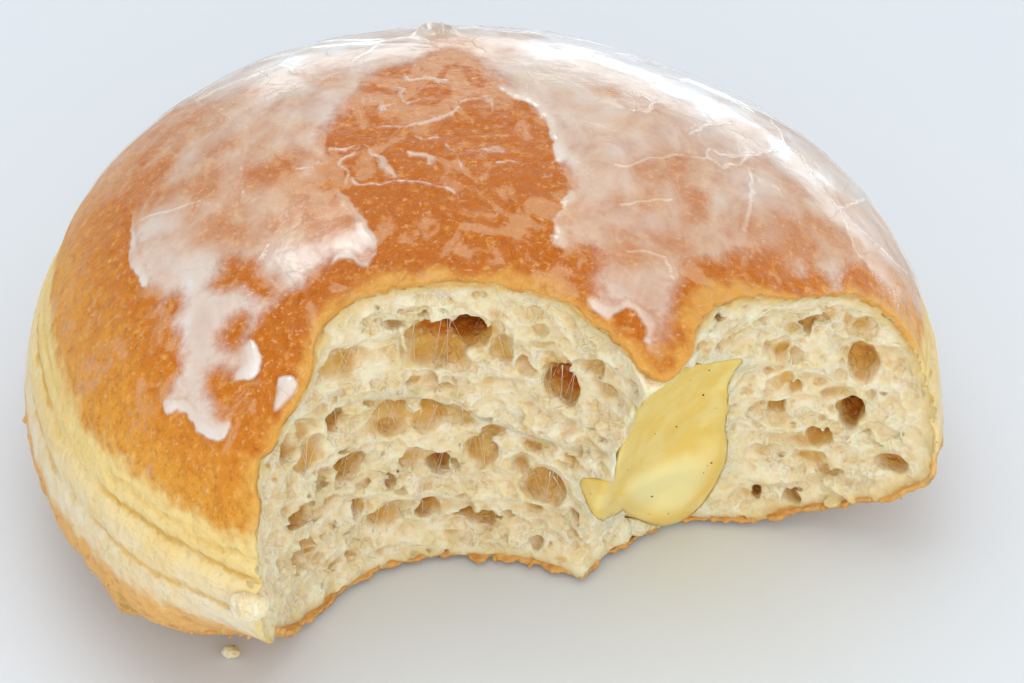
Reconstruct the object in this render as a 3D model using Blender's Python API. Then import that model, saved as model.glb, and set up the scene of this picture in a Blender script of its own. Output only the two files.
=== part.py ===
"""A bitten, custard-filled yeast doughnut, 96 mm across.

Metres, +Z up. The origin is the middle of the flat spot that it rests on, and the two bites face -Y.
The dough is one solid. The custard is a second one, in a pocket that runs from the bite into the dough.
"""
import math

import bmesh
import bpy

MM = 0.001

# Dough: half the width, the height of the widest level and the rise of the dome above it
BUN_RADIUS = 48 * MM
WIDEST_LEVEL = 12.4 * MM
DOME_RISE = 31.5 * MM
BASE_RADIUS = 24.9 * MM
DOME_FULLNESS = 2.2          # exponent of the dome's superellipse: 2 is a circle, more is boxier
BELLY_FULLNESS = 1.6         # the same for the turn-under below the widest level
DOME_ROWS = 15
BELLY_ROWS = 6
SEGMENTS = 72

# Plan shape: slightly oval and slightly three-cornered, as a proofed ball of dough is
OVAL = 0.02
OVAL_ANGLE = -0.64
CORNERS = 0.01
CORNER_ANGLE = 1.09
TOP_LEAN = 0.5 * MM

# The corner left of the bites is tucked in under its edge, where the bite squeezed it
TUCK_SHARE = 0.15
TUCK_LEVEL = 7.5 * MM
TUCK_HEIGHT = 5.8 * MM
TUCK_BEGIN = math.radians(-135)
TUCK_FULL = math.radians(-119)
TUCK_END = math.radians(-80)     # in the bitten part

# The pale band round the side, which the frying fat leaves between two shallow creases
CREASES = [(24.7 * MM, 0.6 * MM), (19.6 * MM, 0.3 * MM), (14.9 * MM, 0.4 * MM)]
CREASE_WIDTH = 1.3 * MM
ROW_SPACING = 1.1 * MM       # least distance from a crease's own rows to the next row

# Bites: two half ovals that meet in a ridge, at the table and 40 mm up, open to the front
BITE_FRONT = -62 * MM
BITE_HEIGHT = 40 * MM
BITE_LEVELS = [-4 * MM, 6 * MM, 16 * MM, 26 * MM, 36 * MM, 46 * MM]
BITE_ARC_STEPS = 18
LEFT_BITE = {
    "low": {"x": 0.3 * MM, "y": -31.0 * MM, "across": 19.4 * MM, "deep": 19.4 * MM},
    "high": {"x": -2.0 * MM, "y": -33.6 * MM, "across": 19.3 * MM, "deep": 14.8 * MM},
}
RIGHT_BITE = {
    "low": {"x": 28.2 * MM, "y": -26.6 * MM, "across": 20.6 * MM, "deep": 21.6 * MM},
    "high": {"x": 42.4 * MM, "y": -34.2 * MM, "across": 26.3 * MM, "deep": 24.0 * MM},
}

# Custard: oval sections along a level axis, from the inner end to the bulge in the right bite
CUSTARD_INNER = (-4.5 * MM, 12.6 * MM)
CUSTARD_OUTER = (22.8 * MM, -15.8 * MM)
CUSTARD_ROWS = 16
CUSTARD_SIDES = 24
CUSTARD_INSIDE = {"level": 18.5 * MM, "across": 14.0 * MM, "up": 12.0 * MM}
CUSTARD_AT_BITE = {"level": 17.4 * MM, "across": 6.4 * MM, "up": 13.4 * MM}
CUSTARD_WIDENS = (0.42, 0.80)    # share of the length over which one section becomes the other
CUSTARD_CAP = 5.5 * MM
CUSTARD_LEAN = 0.27              # how far the outer end follows the leaning face of the bite
GAP = 0.4 * MM                   # between the custard and its pocket

# The largest gas holes in the bitten face: place of the centre, then half-sizes in X, Y and Z
GAS_HOLES = [
    ((-3.7 * MM, -16.6 * MM, 33.0 * MM), (3.1 * MM, 2.6 * MM, 2.9 * MM)),
    ((8.3 * MM, -19.4 * MM, 29.3 * MM), (2.5 * MM, 2.4 * MM, 2.4 * MM)),
    ((-13.2 * MM, -18.6 * MM, 18.0 * MM), (2.1 * MM, 2.0 * MM, 1.7 * MM)),
    ((-3.6 * MM, -14.2 * MM, 18.6 * MM), (1.9 * MM, 2.0 * MM, 1.5 * MM)),
    ((-18.4 * MM, -27.4 * MM, 15.8 * MM), (1.6 * MM, 2.1 * MM, 1.7 * MM)),
    ((0.4 * MM, -12.6 * MM, 8.0 * MM), (2.4 * MM, 2.0 * MM, 1.7 * MM)),
    ((-9.0 * MM, -14.6 * MM, 8.4 * MM), (2.4 * MM, 2.0 * MM, 1.5 * MM)),
    ((39.6 * MM, -7.6 * MM, 17.2 * MM), (1.9 * MM, 2.2 * MM, 2.0 * MM)),
    ((35.2 * MM, -8.2 * MM, 14.6 * MM), (1.8 * MM, 1.9 * MM, 1.4 * MM)),
]
HOLE_SUBDIVISIONS = 2

DOUGH_COLOUR = (0.72, 0.42, 0.14, 1.0)
CUSTARD_COLOUR = (0.86, 0.70, 0.24, 1.0)


def clear_scene():
    for obj in list(bpy.data.objects):
        bpy.data.objects.remove(obj, do_unlink=True)


def make_material(name, colour, roughness):
    material = bpy.data.materials.new(name)
    material.use_nodes = True
    shader = material.node_tree.nodes["Principled BSDF"]
    shader.inputs["Base Color"].default_value = colour
    shader.inputs["Roughness"].default_value = roughness
    shader.inputs["Metallic"].default_value = 0.0
    return material


def object_from_mesh(name, mesh_builder):
    """Turns a finished bmesh into a smooth shaded object in the scene."""
    bmesh.ops.recalc_face_normals(mesh_builder, faces=mesh_builder.faces)
    mesh = bpy.data.meshes.new(name)
    mesh_builder.to_mesh(mesh)
    mesh_builder.free()
    mesh.shade_smooth()
    obj = bpy.data.objects.new(name, mesh)
    bpy.context.scene.collection.objects.link(obj)
    return obj


def lofted_object(name, rings, start=None, end=None):
    """Joins rings of points with quads, and closes each end on a point or with a flat cap."""
    builder = bmesh.new()
    rows = [[builder.verts.new(point) for point in ring] for ring in rings]
    count = len(rows[0])
    for lower, upper in zip(rows, rows[1:]):
        for i in range(count):
            j = (i + 1) % count
            builder.faces.new((lower[i], lower[j], upper[j], upper[i]))
    for row, tip in ((rows[0], start), (rows[-1], end)):
        if tip is None:
            builder.faces.new(row)
            continue
        apex = builder.verts.new(tip)
        for i in range(count):
            builder.faces.new((row[i], row[(i + 1) % count], apex))
    return object_from_mesh(name, builder)


def dome_radius(level):
    """Radius of the dome at a height, drawn in a little at each crease."""
    share = (level - WIDEST_LEVEL) / DOME_RISE
    radius = BUN_RADIUS * (1 - share ** DOME_FULLNESS) ** (1 / DOME_FULLNESS)
    for crease_level, depth in CREASES:
        offset = (level - crease_level) / CREASE_WIDTH
        radius -= depth * math.exp(-offset * offset)
    return radius


def dome_levels():
    """Heights of the dome's rows: evenly turned, with three more rows at each crease."""
    crease_rows = [level + side * CREASE_WIDTH for level, _ in CREASES for side in (-1, 0, 1)]
    levels = list(crease_rows)
    for row in range(DOME_ROWS):
        angle = 0.5 * math.pi * row / DOME_ROWS
        level = WIDEST_LEVEL + DOME_RISE * math.sin(angle) ** (2 / DOME_FULLNESS)
        if all(abs(level - other) > ROW_SPACING for other in crease_rows):
            levels.append(level)
    return sorted(levels)


def bun_profile():
    """Radius and height of each ring, from the edge of the flat base up to just below the top."""
    profile = []
    for row in range(BELLY_ROWS):
        angle = 0.5 * math.pi * (1 - row / BELLY_ROWS)
        radius = BASE_RADIUS + (BUN_RADIUS - BASE_RADIUS) * math.cos(angle) ** (2 / BELLY_FULLNESS)
        level = WIDEST_LEVEL * (1 - math.sin(angle) ** (2 / BELLY_FULLNESS))
        profile.append((radius, level))
    profile.extend((dome_radius(level), level) for level in dome_levels())
    return profile


def plan_factor(angle):
    oval = OVAL * math.cos(2 * (angle - OVAL_ANGLE))
    corners = CORNERS * math.cos(3 * (angle - CORNER_ANGLE))
    return 1 + oval - corners


def tuck(angle, level):
    """Share of the radius that is missing under the corner left of the bites."""
    if angle > TUCK_END:
        return 0.0
    step = min(1.0, max(0.0, (angle - TUCK_BEGIN) / (TUCK_FULL - TUCK_BEGIN)))
    offset = (level - TUCK_LEVEL) / TUCK_HEIGHT
    return TUCK_SHARE * step * step * (3 - 2 * step) * math.exp(-offset * offset)


def bun_ring(radius, level):
    shift = TOP_LEAN * level / (WIDEST_LEVEL + DOME_RISE)
    ring = []
    for i in range(SEGMENTS):
        angle = 2 * math.pi * i / SEGMENTS - math.pi
        reach = radius * (plan_factor(angle) - tuck(angle, level))
        ring.append((reach * math.cos(angle) + shift, reach * math.sin(angle), level))
    return ring


def make_bun(material):
    rings = [bun_ring(radius, level) for radius, level in bun_profile()]
    top = (TOP_LEAN, 0, WIDEST_LEVEL + DOME_RISE)
    bun = lofted_object("bun", rings, start=(0, 0, 0), end=top)
    bun.data.materials.append(material)
    return bun


def bite_oval(bite, level):
    """Centre and half-sizes of one bite's oval at a height."""
    share = level / BITE_HEIGHT
    low = bite["low"]
    high = bite["high"]
    return {key: low[key] + (high[key] - low[key]) * share for key in low}


def oval_point(oval, angle):
    return oval["x"] + oval["across"] * math.cos(angle), oval["y"] + oval["deep"] * math.sin(angle)


def ridge_angle(left, right):
    """Angle on the left oval where it meets the right one, found by halving."""
    outside = 0.5 * math.pi
    inside = 0.0
    for _ in range(40):
        middle = 0.5 * (outside + inside)
        x, y = oval_point(left, middle)
        across = (x - right["x"]) / right["across"]
        deep = (y - right["y"]) / right["deep"]
        if across * across + deep * deep > 1:
            outside = middle
        else:
            inside = middle
    return outside


def bite_ring(level):
    """Outline of both bites at one height, from the left side round the backs to the right side."""
    left = bite_oval(LEFT_BITE, level)
    right = bite_oval(RIGHT_BITE, level)
    left_end = ridge_angle(left, right)
    x, y = oval_point(left, left_end)
    across = (x - right["x"]) / right["across"]
    deep = (y - right["y"]) / right["deep"]
    right_start = math.atan2(deep, across)
    ring = [(left["x"] - left["across"], BITE_FRONT, level)]
    for i in range(BITE_ARC_STEPS):
        angle = math.pi + (left_end - math.pi) * i / BITE_ARC_STEPS
        ring.append((*oval_point(left, angle), level))
    for i in range(BITE_ARC_STEPS + 1):
        angle = right_start * (1 - i / BITE_ARC_STEPS)
        ring.append((*oval_point(right, angle), level))
    ring.append((right["x"] + right["across"], BITE_FRONT, level))
    return ring


def make_bite_cutter(name):
    return lofted_object(name, [bite_ring(level) for level in BITE_LEVELS])


def custard_axis(grow):
    """The two ends of the filling in plan, and its direction from the inner end to the bite."""
    run_x = CUSTARD_OUTER[0] - CUSTARD_INNER[0]
    run_y = CUSTARD_OUTER[1] - CUSTARD_INNER[1]
    length = math.hypot(run_x, run_y)
    toward = (run_x / length, run_y / length)
    inner = (CUSTARD_INNER[0] - grow * toward[0], CUSTARD_INNER[1] - grow * toward[1])
    return inner, toward, length + 2 * grow


def custard_ring(share, grow):
    """One oval section. Share runs from 0 at the inner end to 1 at the tip of the bulge."""
    inner, toward, length = custard_axis(grow)
    begin, end = CUSTARD_WIDENS
    step = min(1.0, max(0.0, (share - begin) / (end - begin)))
    blend = step * step * (3 - 2 * step)

    def between(key):
        return CUSTARD_INSIDE[key] + (CUSTARD_AT_BITE[key] - CUSTARD_INSIDE[key]) * blend

    from_back = min(1.0, share / 0.45)
    from_tip = min(1.0, (1 - share) * length / (CUSTARD_CAP + grow))
    roundness = math.sqrt(1 - (1 - from_back) ** 2) * math.sqrt(1 - (1 - from_tip) ** 2)
    across = (between("across") + grow) * roundness
    up = (between("up") + grow) * roundness
    ring = []
    for i in range(CUSTARD_SIDES):
        angle = 2 * math.pi * i / CUSTARD_SIDES
        aside = across * math.cos(angle)
        rise = up * math.sin(angle)
        along = share * length + CUSTARD_LEAN * blend * rise
        x = inner[0] + along * toward[0] - aside * toward[1]
        y = inner[1] + along * toward[1] + aside * toward[0]
        ring.append((x, y, between("level") + rise))
    return ring


def make_custard(name, grow=0.0):
    """The filling. Its pocket in the dough has the same shape, grown by the gap."""
    shares = []
    for row in range(1, CUSTARD_ROWS):
        shares.append(0.5 - 0.5 * math.cos(math.pi * row / CUSTARD_ROWS))
    rings = [custard_ring(share, grow) for share in shares]
    inner, toward, length = custard_axis(grow)
    start = (inner[0], inner[1], CUSTARD_INSIDE["level"])
    end = (inner[0] + length * toward[0], inner[1] + length * toward[1], CUSTARD_AT_BITE["level"])
    return lofted_object(name, rings, start=start, end=end)


def make_gas_holes(name):
    builder = bmesh.new()
    for centre, half_sizes in GAS_HOLES:
        sphere = bmesh.ops.create_icosphere(builder, subdivisions=HOLE_SUBDIVISIONS, radius=1.0)
        for vert in sphere["verts"]:
            for axis in range(3):
                vert.co[axis] = centre[axis] + half_sizes[axis] * vert.co[axis]
    return object_from_mesh(name, builder)


def cut(target, cutter):
    """Takes the cutter's shape out of the target, and hides the cutter."""
    modifier = target.modifiers.new("cut " + cutter.name, "BOOLEAN")
    modifier.operation = "DIFFERENCE"
    modifier.solver = "EXACT"
    modifier.object = cutter
    cutter.hide_render = True
    cutter.display_type = "WIRE"


def main():
    clear_scene()
    bun = make_bun(make_material("dough", DOUGH_COLOUR, 0.55))
    custard = make_custard("custard")
    custard.data.materials.append(make_material("custard", CUSTARD_COLOUR, 0.3))
    cut(bun, make_bite_cutter("bites"))
    cut(bun, make_custard("custard_pocket", grow=GAP))
    cut(bun, make_gas_holes("gas_holes"))


main()
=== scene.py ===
import math

import bpy
import numpy as np
import openvdb
from mathutils import Matrix


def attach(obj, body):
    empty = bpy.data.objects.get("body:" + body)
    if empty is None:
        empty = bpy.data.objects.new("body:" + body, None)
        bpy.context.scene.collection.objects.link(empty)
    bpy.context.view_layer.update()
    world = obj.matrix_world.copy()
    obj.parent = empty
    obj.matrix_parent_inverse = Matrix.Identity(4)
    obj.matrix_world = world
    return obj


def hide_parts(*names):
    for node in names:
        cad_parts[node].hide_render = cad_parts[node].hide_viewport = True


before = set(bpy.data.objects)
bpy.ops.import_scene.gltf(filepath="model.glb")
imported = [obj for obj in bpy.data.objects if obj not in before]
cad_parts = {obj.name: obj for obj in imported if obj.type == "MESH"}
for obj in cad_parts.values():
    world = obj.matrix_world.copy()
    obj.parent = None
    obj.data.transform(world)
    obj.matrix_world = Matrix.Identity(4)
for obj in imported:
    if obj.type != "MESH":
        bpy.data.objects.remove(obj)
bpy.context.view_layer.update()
mm = 0.001    # shapes are worked out in millimetres and made in metres
print("frame loaded")


# The dough's plain shape, as the CAD body has it: a superellipse dome on a rounder belly
bun = {"radius": 48.0, "widestLevel": 12.4, "domeRise": 31.5, "baseRadius": 24.9,
       "domeFullness": 2.2, "bellyFullness": 1.6, "topLean": 0.5,
       "oval": 0.02, "ovalAngle": -0.64, "corners": 0.01, "cornerAngle": 1.09,
       "tuck": 0.15, "tuckLevel": 7.5, "tuckHeight": 5.8, "tuckFrom": -135, "tuckTo": -119, "tuckEnd": -80}
bunHeight = bun["widestLevel"] + bun["domeRise"]

# Two bites: half ovals at table height and 40 mm up, open to the front
bites = {"levels": 40.0,
         "left": ((0.3, -31.0, 19.4, 19.4), (-2.0, -33.6, 19.3, 14.8)),
         "right": ((28.2, -26.6, 20.6, 21.6), (42.4, -34.2, 26.3, 24.0))}    # x, y, across, deep


farOff, tiny = 1e9, 1e-9


def smoothStep(value, low, high):
    share = np.clip((value - low) / (high - low), 0, 1)
    return share * share * (3 - 2 * share)


def planFactor(angle, level):
    # oval and three-cornered, and tucked in under the corner left of the bites
    oval = bun["oval"] * np.cos(2 * (angle - bun["ovalAngle"]))
    corners = bun["corners"] * np.cos(3 * (angle - bun["cornerAngle"]))
    degrees = np.degrees(angle)
    tuck = bun["tuck"] * smoothStep(degrees, bun["tuckFrom"], bun["tuckTo"]) * (degrees < bun["tuckEnd"])
    return 1 + oval - corners - tuck * np.exp(-((level - bun["tuckLevel"]) / bun["tuckHeight"]) ** 2)


profileSteps = 600


def makeProfile(steps):
    # radius and height from the top centre, over the side, to the middle of the base
    turn = np.linspace(0.5 * np.pi, 0, steps)
    dome = np.stack([bun["radius"] * np.cos(turn) ** (2 / bun["domeFullness"]),
                     bun["widestLevel"] + bun["domeRise"] * np.sin(turn) ** (2 / bun["domeFullness"])], 1)
    turn = turn[::-1]
    reach = bun["radius"] - bun["baseRadius"]
    belly = np.stack([bun["baseRadius"] + reach * np.cos(turn) ** (2 / bun["bellyFullness"]),
                      bun["widestLevel"] * (1 - np.sin(turn) ** (2 / bun["bellyFullness"]))], 1)
    base = np.stack([np.linspace(bun["baseRadius"], 0, steps // 3), np.zeros(steps // 3)], 1)
    line = np.concatenate([dome, belly[1:], base[1:]])
    along = np.concatenate([[0], np.cumsum(np.linalg.norm(np.diff(line, axis=0), axis=1))])
    even = np.linspace(0, along[-1], 2 * steps)
    return even, np.interp(even, along, line[:, 0]), np.interp(even, along, line[:, 1])


profileAlong, profileRadius, profileLevel = makeProfile(profileSteps)
# the outward normal's angle from straight up
profileNormal = np.unwrap(np.arctan2(-np.gradient(profileLevel), np.gradient(profileRadius)))

# Depth under the profile and place along it, looked up on a grid of radius and level
tableStep = 0.5
tableRadius, tableLevel = (0.0, 56.0), (-4.0, 50.0)
lastPlace = 1.001    # keeps the next place inside a table


def makeTables():
    radius, level = np.meshgrid(np.arange(*tableRadius, tableStep), np.arange(*tableLevel, tableStep),
                                indexing="ij")
    gap = np.hypot(radius[..., None] - profileRadius, level[..., None] - profileLevel)
    nearest = gap.argmin(-1)
    span = gap.min(-1)
    outward = ((radius - profileRadius[nearest]) * np.sin(profileNormal[nearest])
               + (level - profileLevel[nearest]) * np.cos(profileNormal[nearest]))
    return -np.sign(outward) * span, profileAlong[nearest]


depthTable, alongTable = makeTables()


def readBetween(table, across, up):
    # a table read between its places
    i, j = across.astype(int), up.astype(int)
    a, b = across - i, up - j
    return ((table[i, j] * (1 - b) + table[i, j + 1] * b) * (1 - a)
            + (table[i + 1, j] * (1 - b) + table[i + 1, j + 1] * b) * a)


def readTable(table, radius, level):
    across = np.clip((radius - tableRadius[0]) / tableStep, 0, table.shape[0] - lastPlace)
    up = np.clip((level - tableLevel[0]) / tableStep, 0, table.shape[1] - lastPlace)
    return readBetween(table, across, up)


def roundPlace(points):
    # angle, radius on the plain turned shape, and height
    x = points[..., 0] - bun["topLean"] * points[..., 2] / bunHeight
    angle = np.arctan2(points[..., 1], x)
    return angle, np.hypot(x, points[..., 1]) / planFactor(angle, points[..., 2]), points[..., 2]


def skinDepth(points):
    # how far a point is under the skin: below zero outside
    _, radius, level = roundPlace(points)
    return readTable(depthTable, radius, level)


def ovalDepth(points, bite):
    share = points[..., 2] / bites["levels"]
    x, y, across, deep = (low + (high - low) * share for low, high in zip(*bites[bite]))
    dx, dy = points[..., 0] - x, points[..., 1] - y
    k = np.sqrt((dx / across) ** 2 + (dy / deep) ** 2) + 1e-6
    round_ = (k - 1) * k / np.sqrt((dx / across ** 2) ** 2 + (dy / deep ** 2) ** 2 + tiny)
    return np.where(dy > 0, round_, np.abs(dx) - across)


def biteDepth(points):
    # how far a point is behind the bitten faces: below zero where the dough is gone
    return np.minimum(ovalDepth(points, "left"), ovalDepth(points, "right"))


def smoothMin(a, b, blend):
    mix = np.clip(0.5 + 0.5 * (b - a) / blend, 0, 1)
    return b + (a - b) * mix - blend * mix * (1 - mix)


# random values repeat after this many bumps or cells, and each seed starts at its own place
noiseWidth = 32
noiseMask = noiseWidth - 1
seedShift, seedCycle = 3.7, 29
seeds = {"torn": 11, "creaseWander": 21, "creaseDepth": 31, "skin": 41, "grain": 43, "rim": 47, "ragged": 51,
         "inside": 53, "custard": 61, "ledges": 67, "warp": (71, 72, 73), "cells": 81, "dimples": 87,
         "back": 91, "glazeEdge": 92, "threadWiggle": (93, 94), "threadWidth": 95, "milk": 96,
         "crackWiggle": (98, 99), "plates": 100, "platePatches": 101, "rimPatches": 102, "flakePatches": 115,
         "flake": 116, "dropped": 118, "lump": 119, "lumpRough": 120}


# Smooth random values from -1 to 1, with bumps about size millimetres apart
def bumps(points, size, seed):
    table = (np.random.default_rng(seed).random(noiseWidth ** 3, dtype=np.float32) * 2 - 1)
    shift = np.float32(seedShift * seed % seedCycle)
    place = (points / np.asarray(size, np.float32)).astype(np.float32) + shift
    cell = np.floor(place)
    part = place - cell
    part = part * part * part * (part * (part * 6 - 15) + 10)
    low = cell.astype(np.int32) & noiseMask
    high = (low + 1) & noiseMask
    total = 0
    for cornerX in (0, 1):
        wx = part[..., 0] if cornerX else 1 - part[..., 0]
        ix = (high if cornerX else low)[..., 0] * noiseWidth ** 2
        for cornerY in (0, 1):
            wy = part[..., 1] if cornerY else 1 - part[..., 1]
            iy = (high if cornerY else low)[..., 1] * noiseWidth
            near = table[ix + iy + low[..., 2]]
            far = table[ix + iy + high[..., 2]]
            total = total + wx * wy * (near + (far - near) * part[..., 2])
    return total


def bumpLayers(points, layers, seed, under=0):
    # bumps of several sizes and heights, added to what lies under them
    for number, (size, height) in enumerate(layers, seed):
        under = under + height * bumps(points, size, number)
    return under


def bumpWay(points, size, waySeeds):
    # a smooth random way, one direction for each seed
    return np.stack([bumps(points, size, seed) for seed in waySeeds], 1)


foamOffset = 64    # keeps cell numbers above zero
foamShift = (0.07, 0.86)    # how far into its cell a centre lies: least and range


# Foam of unevenly packed cells: nearest and second nearest centre, in cell sizes, and the nearest one
def foamCells(points, size, seed):
    random = np.random.default_rng(seed)
    shifts = random.random((noiseWidth ** 3, 3), dtype=np.float32) * foamShift[1] + foamShift[0]
    size = np.asarray(size, np.float32)
    place = (points / size).astype(np.float32) + np.float32(foamOffset)
    cell = np.floor(place).astype(np.int32)
    nearest = np.full(len(points), 9, np.float32)
    second = nearest.copy()
    centre = np.zeros((len(points), 3), np.float32)
    label = np.zeros(len(points), np.int32)
    for step in np.ndindex(3, 3, 3):
        other = cell + (np.array(step, np.int32) - 1)
        i, j, k = (other & noiseMask).T
        key = (i * noiseWidth + j) * noiseWidth + k
        spot = other + shifts[key]
        span = ((spot - place) ** 2).sum(1)
        closer = span < nearest
        second = np.where(closer, nearest, np.minimum(second, span))
        centre[closer] = spot[closer]
        label[closer] = key[closer]
        nearest = np.where(closer, span, nearest)
    chance = random.random(noiseWidth ** 3, dtype=np.float32)[label]
    return np.sqrt(nearest), np.sqrt(second), (centre - foamOffset) * size, chance


# The camera, and the way from a pixel of its 1024 x 683 picture to the dough and back
view = {"aim": (0.0, 0.0, 20.0), "elevation": 38.009, "distance": 350.0, "lens": 117.48,
        "roll": 0.883, "offset": (-34.28, -5.56), "picture": (1024, 683), "sensor": 36.0, "faceNearer": 4}
viewBack = np.array([0, -math.cos(math.radians(view["elevation"])),
                     math.sin(math.radians(view["elevation"]))])
viewRight = np.array([1.0, 0, 0])
viewUp = np.cross(viewBack, viewRight)
viewFrom = np.array(view["aim"]) + viewBack * view["distance"]
focal = view["lens"] / view["sensor"] * view["picture"][0]
pixelsPerMm = focal / (view["distance"] - view["faceNearer"])    # on the bitten faces


def turned(x, y, turn):
    return x * math.cos(turn) - y * math.sin(turn), x * math.sin(turn) + y * math.cos(turn)


def rayThrough(pixels):
    x = pixels[:, 0] - view["picture"][0] / 2 - view["offset"][0]
    y = -(pixels[:, 1] - view["picture"][1] / 2 - view["offset"][1])
    x, y = turned(x, y, math.radians(view["roll"]))
    ray = viewRight * x[:, None] + viewUp * y[:, None] - viewBack * focal
    return ray / np.linalg.norm(ray, axis=1)[:, None]


def toPixels(points):
    way = points - viewFrom
    x = focal * (way @ viewRight) / -(way @ viewBack)
    y = focal * (way @ viewUp) / -(way @ viewBack)
    x, y = turned(x, y, -math.radians(view["roll"]))
    return np.stack([view["picture"][0] / 2 + view["offset"][0] + x,
                     view["picture"][1] / 2 + view["offset"][1] - y], -1)


def alongRay(reach, step):
    # distances from the camera, from reach before the aim to reach behind it
    return np.arange(-reach, reach, step) + view["distance"]


def hitDough(pixels, bitten=True):
    # the first point of the bitten dough behind each pixel, or of the whole dough
    pixels = np.asarray(pixels, float)
    points = viewFrom + rayThrough(pixels)[:, None] * alongRay(90, 0.1)[:, None]
    inside = skinDepth(points) > 0
    if bitten:
        inside &= biteDepth(points) > 0
    first = inside.argmax(1)
    return points[np.arange(len(points)), first]


# Places on the skin: the distance from the top along the skin, laid out flat round the top centre
def flatPlace(points):
    angle, radius, level = roundPlace(points)
    along = readTable(alongTable, radius, level)
    return np.stack([along * np.cos(angle), along * np.sin(angle)], -1)


def flatFromLevel(degrees, level):
    # the flat place at an angle and a height on the dome
    along = np.interp(-level, -profileLevel[:profileSteps], profileAlong[:profileSteps])
    angle = math.radians(degrees)
    return along * math.cos(angle), along * math.sin(angle)


def skinPlace(flat, lift=0.0):
    along = np.hypot(flat[:, 0], flat[:, 1])
    angle = np.arctan2(flat[:, 1], flat[:, 0])
    tilt = np.interp(along, profileAlong, profileNormal)
    radius = np.interp(along, profileAlong, profileRadius) + lift * np.sin(tilt)
    level = np.interp(along, profileAlong, profileLevel) + lift * np.cos(tilt)
    reach = radius * planFactor(angle, level)
    lean = bun["topLean"] * level / bunHeight
    return np.stack([reach * np.cos(angle) + lean, reach * np.sin(angle), level], 1)


def roundOutline(corners, steps=5):
    # a closed smooth line through its corners
    corners = np.asarray(corners, float)
    before, after, beyond = np.roll(corners, 1, 0), np.roll(corners, -1, 0), np.roll(corners, -2, 0)
    parts = []
    for t in np.arange(steps) / steps:
        parts.append(0.5 * (2 * corners + (after - before) * t
                            + (2 * before - 5 * corners + 4 * after - beyond) * t ** 2
                            + (3 * corners - before - 3 * after + beyond) * t ** 3))
    return np.stack(parts, 1).reshape(-1, 2)


def segmentSpan(places, start, end):
    # squared distance to a straight piece of a line
    run = end - start
    share = np.clip(((places - start) @ run) / max(run @ run, tiny), 0, 1)
    return ((places - start - share[:, None] * run) ** 2).sum(1)


def lineDistance(places, line):
    spans = [segmentSpan(places, start, end) for start, end in zip(line[:-1], line[1:])]
    return np.sqrt(np.min(spans, 0))


def insideBy(places, outline):
    # distance to a closed line: above zero inside it
    best = np.full(len(places), farOff)
    crossings = np.zeros(len(places), int)
    for start, end in zip(outline, np.roll(outline, -1, 0)):
        best = np.minimum(best, segmentSpan(places, start, end))
        straddles = (start[1] > places[:, 1]) != (end[1] > places[:, 1])
        if straddles.any():
            run = end - start
            cross = start[0] + (places[:, 1] - start[1]) * run[0] / (run[1] if run[1] else tiny)
            crossings += straddles & (places[:, 0] < cross)
    return np.sqrt(best) * np.where(crossings % 2, 1, -1)


# Mesh tools: triangles are rows of three corner numbers, seen anticlockwise from outside
# corners in the first ring, how long their edges may grow, and how often their number doubles
ring = {"first": 12, "widest": 0.62, "doublings": 6}


def pickEach(rows, *picks):
    # triangles made of chosen columns
    return [rows[:, pick] for pick in picks]


def skinGrid(spacing):
    # rings round the top, with twice the corners wherever the rings have grown enough
    rows = [np.zeros((1, 2))]
    counts = [1]
    for along in np.arange(spacing, profileAlong[-1] - 0.3 * spacing, spacing):
        radius = np.interp(along, profileAlong, profileRadius)
        edges = 2 * math.pi * radius / (ring["first"] * ring["widest"] * spacing)
        count = ring["first"] * 2 ** min(math.floor(math.log2(max(1, edges))), ring["doublings"])
        angle = 2 * np.pi * np.arange(count) / count
        rows.append(along * np.stack([np.cos(angle), np.sin(angle)], 1))
        counts.append(count)
    rows.append(np.array([[profileAlong[-1], 0.0]]))
    counts.append(1)
    starts = np.concatenate([[0], np.cumsum(counts)])
    triangles = []
    for row in range(len(counts) - 1):
        a, b = counts[row], counts[row + 1]
        lowA, lowB = starts[row], starts[row + 1]
        if a == 1 or b == 1:
            i = np.arange(max(a, b))
            j = (i + 1) % max(a, b)
            inner, outer = np.full_like(i, lowA), np.full_like(i, lowB)
            fan = (inner, lowB + i, lowB + j) if a == 1 else (lowA + i, outer, lowA + j)
            triangles.append(np.stack(fan, 1))
            continue
        i = np.arange(min(a, b))
        j = (i + 1) % min(a, b)
        if a == b:
            corners, picks = (lowA + i, lowA + j, lowB + i, lowB + j), ((0, 2, 3), (0, 3, 1))
        elif b == 2 * a:
            corners = (lowA + i, lowA + j, lowB + 2 * i, lowB + 2 * i + 1, lowB + (2 * i + 2) % b)
            picks = ((0, 2, 3), (0, 3, 1), (1, 3, 4))
        else:
            corners = (lowA + 2 * i, lowA + 2 * i + 1, lowA + (2 * i + 2) % a, lowB + i, lowB + j)
            picks = ((0, 3, 1), (1, 3, 4), (1, 4, 2))
        triangles += pickEach(np.stack(corners, 1), *picks)
    return np.concatenate(rows), np.concatenate(triangles)


def edgesOf(triangles, count):
    # both corners of every edge, and the edges of each triangle
    ends = np.stack([triangles, np.roll(triangles, -1, 1)], -1)
    ends.sort(-1)
    keys, index = np.unique(ends[..., 0] * count + ends[..., 1], return_inverse=True)
    return keys // count, keys % count, index.reshape(triangles.shape)


def numbered(chosen, index, count):
    # the number of the new corner on every chosen edge, or -1, for each triangle
    number = np.full(len(chosen), -1)
    number[chosen] = count + np.arange(chosen.sum())
    return number[index]


def keepUsed(points, triangles):
    used, renumbered = np.unique(triangles, return_inverse=True)
    return points[used], renumbered.reshape(triangles.shape)


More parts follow.
